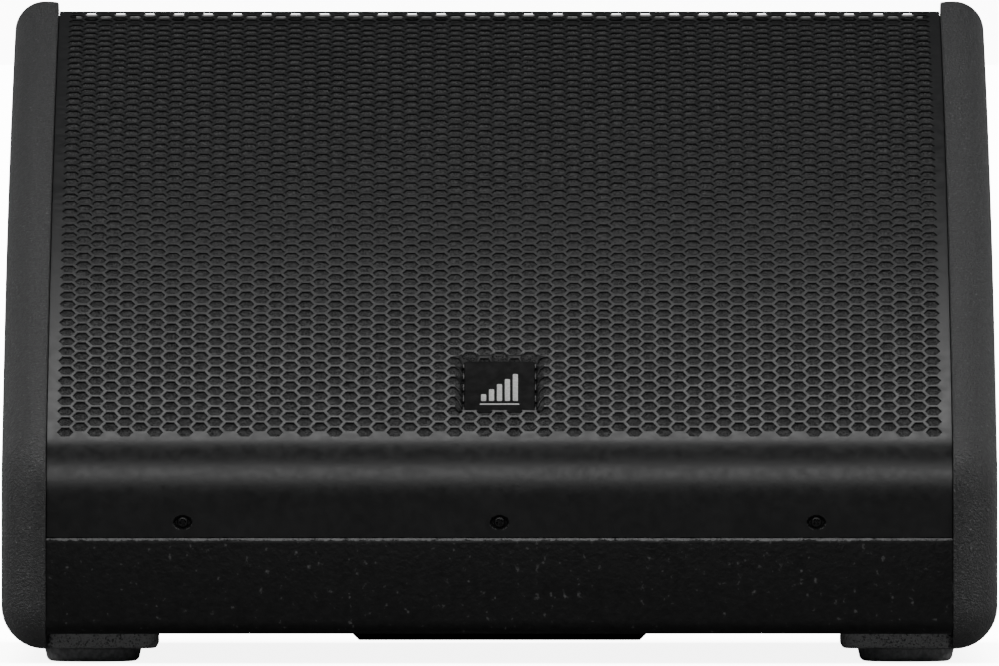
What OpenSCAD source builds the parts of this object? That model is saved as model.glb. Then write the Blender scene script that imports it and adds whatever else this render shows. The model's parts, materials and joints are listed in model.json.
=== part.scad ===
// Stage monitor wedge: a plywood cabinet between two moulded end cheeks, with a curved
// perforated grille, a coaxial driver on a sloping baffle and an amplifier panel behind.
// Origin: centre of the footprint, on the surface that the feet stand on.
// +X runs along the width, +Y from front to rear, +Z up. Lengths are millimetres.

/* [Overall] */
// Width over both end cheeks
overall_w = 576; // [560:1:600]
// Thickness of each end cheek
cheek_t = 26; // [24:1:28]
// Radius of the rim round the outer face of a cheek
rim_r = 20; // [16:1:20]
// How far the cheeks stand out past the grille
cheek_lip = 5.5; // [4.5:0.5:6]

/* [Grille] */
// Height of the lower edge of the grille's skirt
skirt_z = 73; // [70:1:76]
// Height where the skirt ends and the nose bend starts
bend_z = 95; // [94:1:98]
// Outside radius of the nose bend
bend_r = 45; // [42:1:48]
// Slope of the grille where it leaves the nose bend
slope_low = 36.9; // [36:0.1:38]
// Slope of the grille where its two curves meet
slope_mid = 25.2; // [24.5:0.1:26]
// Slope of the grille at its rear edge
slope_top = 16.3; // [15.5:0.1:17]
// Radius of the lower curve
lower_r = 1330; // [1300:10:1360]
// Radius of the upper curve
upper_r = 1900; // [1860:10:1940]
// Thickness of the grille sheet
sheet_t = 1; // [1:0.1:1.6]
// Thickness of the foam behind the grille
foam_t = 10; // [8:1:11]

/* [Cabinet] */
// Height of a rubber foot
foot_h = 8; // [7:1:10]
// Height of a cheek's foot pad
pad_h = 9; // [8:1:10]
// Radius of a rubber foot
foot_r = 28; // [26:1:29]
// Distance of the foot centres from the middle plane
foot_x = 235.5; // [232:0.5:236]
// Depth of the front feet's centres behind the cheeks' front
front_foot_u = 70; // [66:1:74]
// Depth of the rear feet's centres behind the cheeks' front
rear_foot_u = 470; // [464:1:476]
// Thickness of the kick, bottom and rear panels
panel_t = 15; // [14:0.5:15]
// Thickness of the side panels
side_t = 12; // [11:0.5:13]
// Thickness of the baffle
baffle_t = 18; // [16:1:19]
// How far the rear panel lies inside the cheeks
rear_inset = 21; // [20:0.5:23]

/* [Driver] */
// Distance of the driver's centre from the baffle's lower end
driver_s = 310; // [300:1:316]
// Outer radius of the driver's frame
frame_r = 157; // [155:1:159]
// Radius of the driver's hole in the baffle
driver_cut_r = 142; // [142:0.5:143]
// Distance of each port from the middle plane
port_x = 185; // [180:1:190]
// Distance of the ports from the baffle's lower end
port_s = 108; // [100:1:114]

/* [Rear] */
// Width of the amplifier panel
amp_w = 300; // [296:1:310]
// Height of the amplifier panel
amp_h = 190; // [188:1:196]
// Height of the amplifier panel's centre
amp_z = 190; // [186:1:196]

/* [Hidden] */
$fn = 64;

// Colours
paint = [0.075, 0.075, 0.078];
moulding = [0.15, 0.15, 0.155];
sheet_black = [0.13, 0.13, 0.135];
foam_grey = [0.17, 0.17, 0.175];
rubber = [0.10, 0.10, 0.10];
plain_black = [0.03, 0.03, 0.03];
screw_black = [0.08, 0.08, 0.085];
board_green = [0.05, 0.22, 0.12];
steel = [0.55, 0.56, 0.58];
ferrite = [0.20, 0.20, 0.21];
paper = [0.12, 0.115, 0.11];
wadding_white = [0.80, 0.79, 0.76];
lens_green = [0.20, 0.75, 0.25];

// Small gaps and overlaps
slack = 0.3;
hair = 0.1;
film = 0.02;
running_fit = 0.05;
deep = 200;

// Side profile. u is the depth behind the cheeks' front, and angles are the direction of
// travel along the outline, which turns clockwise all the way round.
function out(a) = [-sin(a), cos(a)];
function turned(p, r, a0, a1) = p + r * [sin(a0) - sin(a1), cos(a1) - cos(a0)];
function arc_pts(p, r, a0, a1, n, off = 0) =
    [for (i = [1:n]) let (a = a0 + (a1 - a0) * i / n) turned(p, r, a0, a) + off * out(a)];
function backward(v) = [for (i = [len(v) - 1:-1:0]) v[i]];

skirt_u = cheek_lip;
bend_pt = [skirt_u, bend_z];
nose_pt = turned(bend_pt, bend_r, 90, slope_low);
mid_pt = turned(nose_pt, lower_r, slope_low, slope_mid);
top_pt = turned(mid_pt, upper_r, slope_mid, slope_top);
bend_steps = 10;
curve_steps = 8;

// The sloping stretch of the grille, moved outwards by off, from the nose to the rear edge
function slope_line(off) = concat(
    [nose_pt + off * out(slope_low)],
    arc_pts(nose_pt, lower_r, slope_low, slope_mid, curve_steps, off),
    arc_pts(mid_pt, upper_r, slope_mid, slope_top, curve_steps, off));
function bend_line(off) = arc_pts(bend_pt, bend_r, 90, slope_low, bend_steps, off);
function grille_line(off) = concat(
    [[skirt_u - off, skirt_z], bend_pt + off * out(90)], bend_line(off),
    arc_pts(nose_pt, lower_r, slope_low, slope_mid, curve_steps, off),
    arc_pts(mid_pt, upper_r, slope_mid, slope_top, curve_steps, off));

// Cheek outline
base_z = foot_h + pad_h;
top_corner_r = 20;
front_corner_r = 26;
rear_corner_r = 30;
top_corner = top_pt + cheek_lip * out(slope_top);
overall_d = turned(top_corner, top_corner_r, slope_top, -90)[0];
half_d = overall_d / 2;
corner_steps = 8;
function cheek_outline(off) = concat(
    [bend_pt + (cheek_lip + off) * out(90)],
    bend_line(cheek_lip + off),
    arc_pts(nose_pt, lower_r, slope_low, slope_mid, curve_steps, cheek_lip + off),
    arc_pts(mid_pt, upper_r, slope_mid, slope_top, curve_steps, cheek_lip + off),
    arc_pts(top_corner, top_corner_r, slope_top, -90, corner_steps, off),
    [[overall_d + off, foot_h + rear_corner_r]],
    arc_pts([overall_d, foot_h + rear_corner_r], rear_corner_r, -90, -180, corner_steps, off),
    [[front_corner_r, foot_h - off]],
    arc_pts([front_corner_r, foot_h], front_corner_r, -180, -270, corner_steps, off));

// Cabinet
cab_w = overall_w - 2 * cheek_t;
inner_w = cab_w - 2 * side_t;
kick_proud = 3;
kick_u = skirt_u - kick_proud;
kick_in = kick_u + panel_t;
rebate_u = skirt_u + sheet_t + 0.5;
floor_z = base_z + panel_t;
rear_out = overall_d - rear_inset;
rear_in = rear_out - panel_t;
rear_top_gap = 2.6;
rear_top_z = top_pt[1] - rear_top_gap;
edge_r = 8;
baffle_drop = 14;
chord = top_pt - nose_pt;
tilt = atan2(chord[1], chord[0]);
baffle_pt = nose_pt - baffle_drop * out(tilt);
function baffle_z(u) = baffle_pt[1] + (u - baffle_pt[0]) * tan(tilt);

// Pulls a side-profile outline across the width, from x0 over width w
module slab(x0, w) {
    translate([x0, -half_d, 0]) rotate([90, 0, 90]) linear_extrude(height = w) children();
}

// Places children on the baffle's front face: z is the outward normal
module at_baffle(x, s) {
    translate([x, baffle_pt[0] + s * cos(tilt) - half_d, baffle_pt[1] + s * sin(tilt)])
        rotate([tilt, 0, 0]) children();
}
module at_driver() {
    at_baffle(0, driver_s) children();
}

// Places children on the rear panel's outer face, as seen from behind: x right, y up, z out
module at_rear(x, y) {
    translate([-x, rear_out - half_d, amp_z + y]) rotate([90, 0, 180]) children();
}

module tube(r_out, r_in, z0, z1) {
    translate([0, 0, z0]) difference() {
        cylinder(h = z1 - z0, r = r_out);
        translate([0, 0, -1]) cylinder(h = z1 - z0 + 2, r = r_in);
    }
}
module rod(r, z0, z1) {
    translate([0, 0, z0]) cylinder(h = z1 - z0, r = r);
}
module block(w, h, z0, z1) {
    translate([-w / 2, -h / 2, z0]) cube([w, h, z1 - z0]);
}

// Screw with its head on z = 0, shank downwards, and a cross-shaped drive recess
module screw(head_r, head_h, shank_r, length) {
    difference() {
        union() {
            rod(head_r, 0, head_h);
            rod(shank_r, -length, hair);
        }
        block(head_r * 1.1, head_r * 0.3, head_h * 0.4, head_h + 1);
        block(head_r * 0.3, head_r * 1.1, head_h * 0.4, head_h + 1);
    }
}

// ---------------------------------------------------------------- cabinet panels
handle_u = 150;
handle_cut = [148, 92];
function side_points() = concat(
    [[kick_in, floor_z], [kick_in, baffle_z(kick_in)]],
    slope_line(-(sheet_t + foam_t + 0.5)),
    [[overall_d, floor_z]]);

foot_places = [
    [-foot_x, front_foot_u], [foot_x, front_foot_u],
    [-foot_x, rear_foot_u], [foot_x, rear_foot_u]
];
foot_screw_r = 2.5;
handle_screw_places = [[-66, -52], [66, -52], [-66, 52], [66, 52]];
handle_screw_r = 2;

module bottom_panel() {
    color(paint) difference() {
        slab(-cab_w / 2, cab_w)
            polygon([[kick_in, base_z], [rear_in, base_z], [rear_in, floor_z], [kick_in, floor_z]]);
        translate([0, handle_u - half_d, 0]) block(handle_cut[0], handle_cut[1], 0, floor_z + 1);
        for (p = foot_places)
            translate([p[0], p[1] - half_d, 0]) rod(foot_screw_r + hair, 0, floor_z + 1);
        for (p = handle_screw_places)
            translate([p[0], handle_u - half_d + p[1], 0]) rod(handle_screw_r + hair, 0, floor_z + 1);
    }
}

grille_screw_z = 81.7;
grille_screw_x = [-183, 0, 183];
grille_screw_r = 2;
dish_r = 4.1;
dish_shift = 1.55;
dish_depth = 3;
rebate_r = 2;
post_rise = 3;
post_slope = 5.5;
rebate_z = skirt_z - 0.5;
kick_points = concat(
    [[kick_in, base_z], [kick_u + edge_r, base_z]],
    arc_pts([kick_u + edge_r, base_z], edge_r, -180, -270, 6),
    [[kick_u, rebate_z - rebate_r]],
    arc_pts([kick_u, rebate_z - rebate_r], rebate_r, 90, 0, 4),
    [[rebate_u, rebate_z], [rebate_u, bend_z + post_rise],
     [rebate_u + post_slope, baffle_z(rebate_u + post_slope)], [kick_in, baffle_z(kick_in)]]);

// Places children at the skirt's screws: z points to the front, from the skirt's outer face
module at_skirt_screws() {
    for (x = grille_screw_x)
        translate([x, skirt_u - half_d, grille_screw_z]) rotate([90, 0, 0]) children();
}
// Oval rod, as the dishes round the skirt's screws are
module oval_rod(r, z0, z1) {
    for (side = [-1, 1]) translate([side * dish_shift, 0, 0]) rod(r, z0, z1);
    block(2 * dish_shift, 2 * r, z0, z1);
}

module kick_panel() {
    color(paint) difference() {
        slab(-cab_w / 2, cab_w) polygon(kick_points);
        at_skirt_screws() {
            rod(grille_screw_r + hair, -panel_t * 2, 1);
            oval_rod(dish_r + sheet_t + slack, -dish_depth - sheet_t - slack, 1);
        }
    }
}

// Grille hooks: three lips welded under the sheet that reach into the rear panel
hook_x = [-180, 0, 180];
hook_w = 32;
hook_z = top_pt[1] - 14.3;
hook_h = 9;
hook_t = 1.5;
hook_reach = 4.5;

amp_cut = [amp_w - 20, amp_h - 20];
amp_screw_r = 2;
amp_screw_places = concat(
    [for (x = [-1, -1 / 3, 1 / 3, 1], y = [-1, 1]) [x * (amp_w / 2 - 5), y * (amp_h / 2 - 5)]],
    [for (x = [-1, 1]) [x * (amp_w / 2 - 5), 0]]);

module rear_panel() {
    color(paint) difference() {
        slab(-cab_w / 2, cab_w) polygon(concat(
            [[rear_in, base_z], [rear_in, rear_top_z - panel_t * tan(slope_top)],
             [rear_out, rear_top_z], [rear_out, base_z + edge_r / 2]],
            arc_pts([rear_out, base_z + edge_r / 2], edge_r / 2, -90, -180, 4)));
        at_rear(0, 0) block(amp_cut[0], amp_cut[1], -panel_t - 1, 1);
        for (p = amp_screw_places) at_rear(p[0], p[1]) rod(amp_screw_r + hair, -panel_t - 1, 1);
        for (x = hook_x)
            translate([x - hook_w / 2 - 1, rear_in - half_d - 1, hook_z - 1])
                cube([hook_w + 2, hook_reach + 2.5, hook_t + 2]);
    }
}

cheek_screw_places = [[60, 60], [270, 60], [480, 60], [300, 190], [480, 295]];
cheek_screw_r = 2;
cheek_screw_depth = 14;

module side_panel() {
    color(paint) difference() {
        slab(inner_w / 2, side_t) intersection() {
            polygon(side_points());
            translate([kick_in, floor_z]) square([rear_in - kick_in, overall_d]);
        }
        for (p = cheek_screw_places)
            translate([inner_w / 2 - 1, p[0] - half_d, p[1]]) rotate([0, 90, 0])
                rod(cheek_screw_r + hair, 0, side_t + 2);
    }
}
module right_side_panel() {
    side_panel();
}
module left_side_panel() {
    mirror([1, 0, 0]) side_panel();
}

port_r = 36;
port_wall = 2.5;
port_length = 108;
driver_screw_pcd_r = 149.5;
driver_screw_r = 2.5;
driver_screw_count = 8;

module baffle() {
    thick = baffle_t / cos(tilt);
    color(paint) difference() {
        slab(-inner_w / 2, inner_w) polygon([
            [kick_in, baffle_z(kick_in)], [rear_in, baffle_z(rear_in)],
            [rear_in, baffle_z(rear_in) - thick], [kick_in, baffle_z(kick_in) - thick]]);
        at_driver() rod(driver_cut_r, -deep / 4, deep / 4);
        at_driver() for (i = [1:driver_screw_count])
            rotate([0, 0, (i - 0.5) * 360 / driver_screw_count]) translate([driver_screw_pcd_r, 0, 0])
                rod(driver_screw_r + hair, -deep / 4, deep / 4);
        for (side = [-1, 1])
            at_baffle(side * port_x, port_s) rod(port_r + port_wall + slack, -deep / 4, deep / 4);
    }
}

// ---------------------------------------------------------------- end cheeks and feet
rim_steps = 7;
skin = 0.05;
pad_in = 64.5;
pad_length = 76;
pad_corner_r = 10;

// Foot pad: a tongue of the cheek that turns in under the cabinet
function pad_points() = concat(
    [[2, -pad_length / 2], [2, pad_length / 2], [-pad_in + pad_corner_r, pad_length / 2]],
    [for (a = [100:10:180]) [pad_corner_r - pad_in + pad_corner_r * cos(a),
                             pad_length / 2 - pad_corner_r + pad_corner_r * sin(a)]],
    [for (a = [180:10:270]) [pad_corner_r - pad_in + pad_corner_r * cos(a),
                             pad_corner_r - pad_length / 2 + pad_corner_r * sin(a)]]);

module cheek() {
    color(moulding) difference() {
        union() {
            hull() {
                slab(cab_w / 2, skin) polygon(cheek_outline(0));
                for (i = [0:rim_steps])
                    slab(overall_w / 2 - rim_r * (1 - sin(90 * i / rim_steps)) - skin, skin)
                        polygon(cheek_outline(-rim_r * (1 - cos(90 * i / rim_steps))));
            }
            for (u = [front_foot_u, rear_foot_u])
                translate([cab_w / 2, u - half_d, foot_h])
                    linear_extrude(height = pad_h) polygon(pad_points());
        }
        for (p = cheek_screw_places)
            translate([cab_w / 2 - 1, p[0] - half_d, p[1]]) rotate([0, 90, 0])
                rod(cheek_screw_r + hair, 0, cheek_screw_depth + 2);
        for (u = [front_foot_u, rear_foot_u])
            translate([foot_x, u - half_d, 0]) rod(foot_screw_r + hair, 0, base_z + 1);
    }
}
module right_cheek() {
    cheek();
}
module left_cheek() {
    mirror([1, 0, 0]) cheek();
}

cheek_screw_head = [5, 3];
module cheek_screws() {
    color(screw_black) for (side = [-1, 1], p = cheek_screw_places)
        translate([side * inner_w / 2, p[0] - half_d, p[1]]) rotate([0, -90 * side, 0])
            screw(cheek_screw_head[0], cheek_screw_head[1], cheek_screw_r, side_t + cheek_screw_depth);
}

// Foot: a round rubber puck with a recess for the screw's head
foot_edge = 4;
recess_r = 6.5;
recess_h = 4.5;
module foot(i) {
    color(rubber) translate([foot_places[i][0], foot_places[i][1] - half_d, 0])
        rotate_extrude() polygon(concat(
            [[recess_r, 0], [foot_r - foot_edge, 0]],
            [for (a = [-75:15:0]) [foot_r - foot_edge + foot_edge * cos(a),
                                   foot_edge + foot_edge * sin(a)]],
            [[foot_r, foot_h], [foot_screw_r + hair, foot_h], [foot_screw_r + hair, recess_h],
             [recess_r, recess_h]]));
}
module front_left_foot() {
    foot(0);
}
module front_right_foot() {
    foot(1);
}
module rear_left_foot() {
    foot(2);
}
module rear_right_foot() {
    foot(3);
}

foot_screw_length = 24;
foot_screw_head = [5, 3];
module foot_screws() {
    color(steel) for (p = foot_places)
        translate([p[0], p[1] - half_d, recess_h]) mirror([0, 0, 1])
            screw(foot_screw_head[0], foot_screw_head[1], foot_screw_r, foot_screw_length);
}

// ---------------------------------------------------------------- grille and badge
grille_w = cab_w - 1;
pocket_s = 52.5;
pocket_w = 50;
pocket_l = 52;
badge_w = 41;
badge_l = 46;
badge_t = 1.6;
badge_depth = 5;
badge_lift = 5;
pocket_angle = slope_low - pocket_s / lower_r * 180 / PI;
pocket_pt = turned(nose_pt, lower_r, slope_low, pocket_angle);

// Places children on the grille at the badge's centre: z is the grille's outward normal
module at_badge() {
    translate([0, pocket_pt[0] - half_d, pocket_pt[1]]) rotate([pocket_angle, 0, 0]) children();
}
// The badge's plate, which leans back less than the grille does
module at_badge_plate() {
    at_badge() translate([0, 0, -badge_depth]) rotate([badge_lift, 0, 0]) children();
}

module grille() {
    color(sheet_black) union() {
        difference() {
            union() {
                slab(-grille_w / 2, grille_w)
                    polygon(concat(grille_line(0), backward(grille_line(-sheet_t))));
                at_skirt_screws() oval_rod(dish_r + sheet_t, -dish_depth - sheet_t, -hair);
            }
            at_badge() block(pocket_w - 2 * sheet_t, pocket_l - 2 * sheet_t, -deep / 10, deep / 10);
            at_skirt_screws() {
                oval_rod(dish_r, -dish_depth, 1);
                rod(grille_screw_r + hair, -deep / 10, 1);
            }
        }
        // Pressed pocket for the badge
        at_badge_plate() difference() {
            block(pocket_w, pocket_l, -sheet_t, badge_depth - 1);
            block(pocket_w - 2 * sheet_t, pocket_l - 2 * sheet_t, 0, badge_depth + 4);
        }
        // Hooks at the rear edge
        for (x = hook_x) translate([x - hook_w / 2, rear_in - half_d - 3, 0]) {
            translate([0, -hook_t, hook_z]) cube([hook_w, hook_t, hook_h]);
            translate([0, -hook_t, hook_z]) cube([hook_w, 3 + hook_t + hook_reach, hook_t]);
        }
    }
}

foam_w = cab_w - 3;
foam_gap_front = 6;
foam_gap_rear = 8;
module grille_foam() {
    lift = 0.2;
    depth = rear_in - kick_in - foam_gap_front - foam_gap_rear;
    color(foam_grey) difference() {
        slab(-foam_w / 2, foam_w) intersection() {
            polygon(concat(slope_line(-sheet_t - lift), backward(slope_line(-sheet_t - foam_t))));
            translate([kick_in + foam_gap_front, 0]) square([depth, overall_d]);
        }
        at_badge() block(pocket_w + 2 * sheet_t, pocket_l + 4, -deep / 4, deep / 4);
    }
}

grille_screw_head = [3.3, 1.8];
grille_screw_length = 8.5;
module grille_screws() {
    color(screw_black) at_skirt_screws() translate([0, 0, -dish_depth])
        screw(grille_screw_head[0], grille_screw_head[1], grille_screw_r, grille_screw_length);
}

module badge() {
    color(plain_black) at_badge_plate() block(badge_w, badge_l, 0.1, badge_t);
}

// ---------------------------------------------------------------- carry handle
flange_w = 174;
flange_l = 126;
flange_t = 5.5;
flange_slope = 5.5;
cup_wall = 3;
cup_h = 52;
bar_r = 9;
bar_z = base_z + 12;
handle_head_r = 4;
handle_head_h = 2.2;
handle_seat = 2.6;
handle_screw_length = 16;

// A plate with four sloping edges: two trapezoids pulled across each other
module sloped_plate(w, l) {
    intersection() {
        translate([0, l, 0]) rotate([90, 0, 0]) linear_extrude(height = 2 * l) polygon([
            [-w / 2, 0], [w / 2, 0], [w / 2 - flange_slope, -flange_t], [-w / 2 + flange_slope, -flange_t]]);
        translate([-w, 0, 0]) rotate([90, 0, 90]) linear_extrude(height = 2 * w) polygon([
            [-l / 2, 0], [l / 2, 0], [l / 2 - flange_slope, -flange_t], [-l / 2 + flange_slope, -flange_t]]);
    }
}

module handle_cup() {
    color(plain_black) translate([0, handle_u - half_d, base_z]) difference() {
        union() {
            sloped_plate(flange_w, flange_l);
            block(handle_cut[0] - 2, handle_cut[1] - 2, -1, cup_h);
        }
        block(handle_cut[0] - 2 - 2 * cup_wall, handle_cut[1] - 2 - 2 * cup_wall, -deep, cup_h - cup_wall);
        for (p = handle_screw_places) translate([p[0], p[1], 0]) {
            rod(handle_screw_r + hair, -deep, 1);
            rod(handle_head_r + 2 * hair, -deep, -flange_t + handle_seat);
        }
    }
}

module handle_bar() {
    length = handle_cut[0] - 2 - 2 * cup_wall;
    color(rubber) translate([-length / 2, handle_u - half_d, bar_z]) rotate([0, 90, 0])
        rod(bar_r, 0, length);
}

module handle_screws() {
    color(screw_black) for (p = handle_screw_places)
        translate([p[0], handle_u - half_d + p[1], base_z - flange_t + handle_seat])
            mirror([0, 0, 1])
                screw(handle_head_r, handle_head_h, handle_screw_r, handle_screw_length);
}

// ---------------------------------------------------------------- ports and wadding
port_flange = [45, 3];
module port_tube(side) {
    color(plain_black) at_baffle(side * port_x, port_s) {
        tube(port_r + port_wall, port_r, -port_length, port_flange[1]);
        tube(port_flange[0], port_r + port_wall - 1, 0, port_flange[1]);
    }
}
module left_port_tube() {
    port_tube(-1);
}
module right_port_tube() {
    port_tube(1);
}

wadding_w = 400;
wadding_l = 250;
wadding_t = 18;
wadding_u = 375;
module damping_wadding() {
    color(wadding_white) translate([0, wadding_u - half_d, 0])
        block(wadding_w, wadding_l, floor_z + hair, floor_z + wadding_t);
}

// ---------------------------------------------------------------- coaxial driver
// Heights are measured along the driver's axis from the baffle's front face.
gasket_t = 2;
flange_top = 6;
seat_z = -95;
plate_z = -98;
magnet_z = -108;
back_z = -128;
throat_z = -138;
cap_z = -170;
neck_r = 96;
roll_r = 7;
roll_mid_r = 130;
roll_t = 0.8;
coil_in_r = 37.5;
coil_out_r = 38.4;
throat_r = 12.7;
mouth_r = 33;
mouth_z = -45;
spider_z = -62.8;
spider_t = 0.8;
spider_r = 103;
pole_plate_r = 92;
pole_plate_bore_r = 40;
magnet_r = 90;
magnet_bore_r = 48;
back_plate_r = 88;
pole_core_r = 36.3;
pole_bore_r = 24;
housing_r = 44;
cap_r = 42;
cap_bore_r = 30;
cap_h = 20;
cap_wall = 6;
cone_edge_r = 122;
cone_shoulder_r = 117;
cone_t = 1.4;
cone_z = -53.4;

module driver_basket() {
    wall = 3;
    window = [60, 64, 44];
    rim = driver_cut_r - 1;
    ledge_r = neck_r + (rim - neck_r) * (spider_z - seat_z) / (gasket_t - seat_z);
    color(screw_black) at_driver() difference() {
        union() {
            tube(frame_r, roll_mid_r + roll_r, gasket_t, flange_top);
            rotate_extrude() polygon([
                [rim, gasket_t + 1], [neck_r, seat_z], [neck_r - wall, seat_z],
                [rim - wall, gasket_t + 1]]);
            tube(ledge_r - wall / 2, spider_r - 5, spider_z - wall, spider_z);
            tube(neck_r, pole_plate_bore_r + 2, plate_z, seat_z);
        }
        for (i = [0:5]) rotate([0, 0, i * 60]) translate([88, -window[1] / 2, -56]) cube(window);
        for (i = [1:driver_screw_count])
            rotate([0, 0, (i - 0.5) * 360 / driver_screw_count]) translate([driver_screw_pcd_r, 0, 0])
                rod(driver_screw_r + hair, 0, flange_top + 1);
    }
}

module driver_gasket() {
    color(foam_grey) at_driver() difference() {
        tube(frame_r, driver_cut_r, film, gasket_t);
        for (i = [1:driver_screw_count])
            rotate([0, 0, (i - 0.5) * 360 / driver_screw_count]) translate([driver_screw_pcd_r, 0, 0])
                rod(driver_screw_r + hair, -1, gasket_t + 1);
    }
}

driver_screw_head = [4.5, 3];
driver_screw_length = 22;
module driver_screws() {
    color(screw_black) at_driver() for (i = [1:driver_screw_count])
        rotate([0, 0, (i - 0.5) * 360 / driver_screw_count])
            translate([driver_screw_pcd_r, 0, flange_top])
                screw(driver_screw_head[0], driver_screw_head[1], driver_screw_r, driver_screw_length);
}

module front_pole_plate() {
    color(steel) at_driver() tube(pole_plate_r, pole_plate_bore_r, magnet_z, plate_z);
}
module woofer_magnet() {
    color(ferrite) at_driver() tube(magnet_r, magnet_bore_r, back_z, magnet_z);
}
module back_pole_plate() {
    color(steel) at_driver() {
        tube(back_plate_r, pole_bore_r, throat_z, back_z);
        tube(pole_core_r, pole_bore_r, back_z - 1, plate_z);
    }
}
module horn() {
    wall = 1.5;
    color(plain_black) at_driver() {
        rotate_extrude() polygon([
            [throat_r, throat_z], [mouth_r, mouth_z], [mouth_r + wall, mouth_z],
            [throat_r + wall, throat_z]]);
        tube(pole_bore_r - 2 * hair, throat_r + wall / 2, throat_z, throat_z + 2 * wall);
    }
}
module hf_housing() {
    color(ferrite) at_driver() difference() {
        rod(housing_r, cap_z, throat_z);
        translate([0, 0, cap_z - 1]) cylinder(h = throat_z - cap_z + 2, r1 = 20, r2 = throat_r);
    }
}
module hf_rear_cap() {
    color(plain_black) at_driver() difference() {
        rod(cap_r, cap_z - cap_h, cap_z);
        rod(cap_bore_r, cap_z - cap_h + cap_wall, cap_z + 1);
    }
}
module hf_diaphragm() {
    dome_r = 22;
    color(steel) at_driver() translate([0, 0, cap_z - 1.6]) {
        rotate_extrude() polygon(concat(
            [for (a = [0:10:90]) [dome_r * cos(a), -6 * sin(a)]],
            [for (a = [90:-10:0]) [(dome_r - 0.5) * cos(a), -5.5 * sin(a)]]));
        tube(28, dome_r - 0.5, -0.5, 0);
    }
}

module woofer_cone() {
    color(paper) at_driver() rotate_extrude() polygon([
        [cone_edge_r, flange_top], [cone_shoulder_r, flange_top], [coil_out_r, cone_z],
        [coil_out_r, cone_z - cone_t], [cone_shoulder_r + cone_t / 3, flange_top - cone_t],
        [cone_edge_r, flange_top - cone_t]]);
}
module voice_coil() {
    color(steel) at_driver() {
        tube(coil_out_r, coil_in_r, -112, -50);
        tube(39.2, coil_out_r - hair, -110, -96);
    }
}
module surround() {
    outer = roll_r + roll_t;
    color(rubber) at_driver() translate([0, 0, flange_top]) rotate_extrude() polygon(concat(
        [[118, 0], [roll_mid_r - roll_r, 0]],
        [for (a = [165:-15:15]) [roll_mid_r + roll_r * cos(a), roll_r * sin(a)]],
        [[roll_mid_r + roll_r, 0], [142, 0], [142, roll_t], [roll_mid_r + outer, roll_t]],
        [for (a = [15:15:165]) [roll_mid_r + outer * cos(a), outer * sin(a)]],
        [[roll_mid_r - outer, roll_t], [118, roll_t]]));
}
module spider() {
    color("peru") at_driver() tube(spider_r, coil_out_r + film, spider_z, spider_z + spider_t);
}

// ---------------------------------------------------------------- amplifier panel
// Layers outwards from the rear panel's face: gasket, panel, then flanges and knobs.
plate_in = 1;
plate_out = 4;
flange_out = 6;
cut_in = -5;
cut_out = 9;
inputs = [[-112, -5], [-72, -5]];
link = [-32, -5];
knobs = [[-112, -54], [-72, -54]];
lenses = [[2, -5], [14, -5], [26, -5]];
switch_at = [44, -52];
inlet_at = [106, -42];
sink_at = [0, 52];
socket_r = 11.8;
bushing_r = 4.5;
lens_r = 2.5;
switch_body = [19.6, 27.6];
inlet_body = [44, 46];
latch_at = [0, 11.9];
latch_size = [8, 3.4];
latch_inner = -6;
latch_proud = 3;

module amp_panel() {
    color(paint) difference() {
        at_rear(0, 0) block(amp_w, amp_h, plate_in, plate_out);
        for (p = concat(inputs, [link])) at_rear(p[0], p[1]) rod(socket_r + slack, cut_in, cut_out);
        for (p = inputs) at_rear(p[0], p[1]) translate(latch_at)
            block(latch_size[0] + 2, latch_size[1] + 2.4, cut_in, cut_out);
        for (p = knobs) at_rear(p[0], p[1]) rod(bushing_r + hair, cut_in, cut_out);
        for (p = lenses) at_rear(p[0], p[1]) rod(lens_r + hair / 2, cut_in, cut_out);
        at_rear(switch_at[0], switch_at[1])
            block(switch_body[0] + 4 * hair, switch_body[1] + 4 * hair, cut_in, cut_out);
        at_rear(inlet_at[0], inlet_at[1])
            block(inlet_body[0] + 4 * hair, inlet_body[1] + 4 * hair, cut_in, cut_out);
        for (p = amp_screw_places) at_rear(p[0], p[1]) rod(amp_screw_r + hair, cut_in, cut_out);
    }
}

module amp_gasket() {
    color(rubber) difference() {
        at_rear(0, 0) block(amp_w, amp_h, 0, plate_in);
        at_rear(0, 0) block(amp_cut[0], amp_cut[1], -1, 2);
        for (p = amp_screw_places) at_rear(p[0], p[1]) rod(amp_screw_r + hair, cut_in, cut_out);
    }
}

box_depth = 66;
box_wall = 2;
module amp_back_box() {
    w = amp_cut[0] - 4;
    h = amp_cut[1] - 4;
    color(plain_black) at_rear(0, 0) difference() {
        block(w, h, -box_depth, plate_in);
        block(w - 2 * box_wall, h - 2 * box_wall, -box_depth + box_wall, plate_in + 1);
    }
}

amp_screw_head = [3.8, 2.2];
amp_screw_length = 16;
module amp_screws() {
    color(screw_black) for (p = amp_screw_places)
        at_rear(p[0], p[1]) translate([0, 0, plate_out])
            screw(amp_screw_head[0], amp_screw_head[1], amp_screw_r, amp_screw_length);
}

// Finned heat sink, with its fins upright
sink_w = 240;
sink_h = 66;
sink_base = 4;
fin_out = 18;
fin_t = 2.2;
fin_count = 23;
module heat_sink() {
    pitch = (sink_w - fin_t) / (fin_count - 1);
    color(plain_black) at_rear(sink_at[0], sink_at[1]) translate([0, sink_h / 2, 0]) rotate([90, 0, 0])
        linear_extrude(height = sink_h) union() {
            translate([-sink_w / 2, plate_out]) square([sink_w, sink_base]);
            for (i = [0:fin_count - 1])
                translate([-sink_w / 2 + i * pitch, plate_out]) square([fin_t, fin_out - plate_out]);
        }
}

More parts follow.
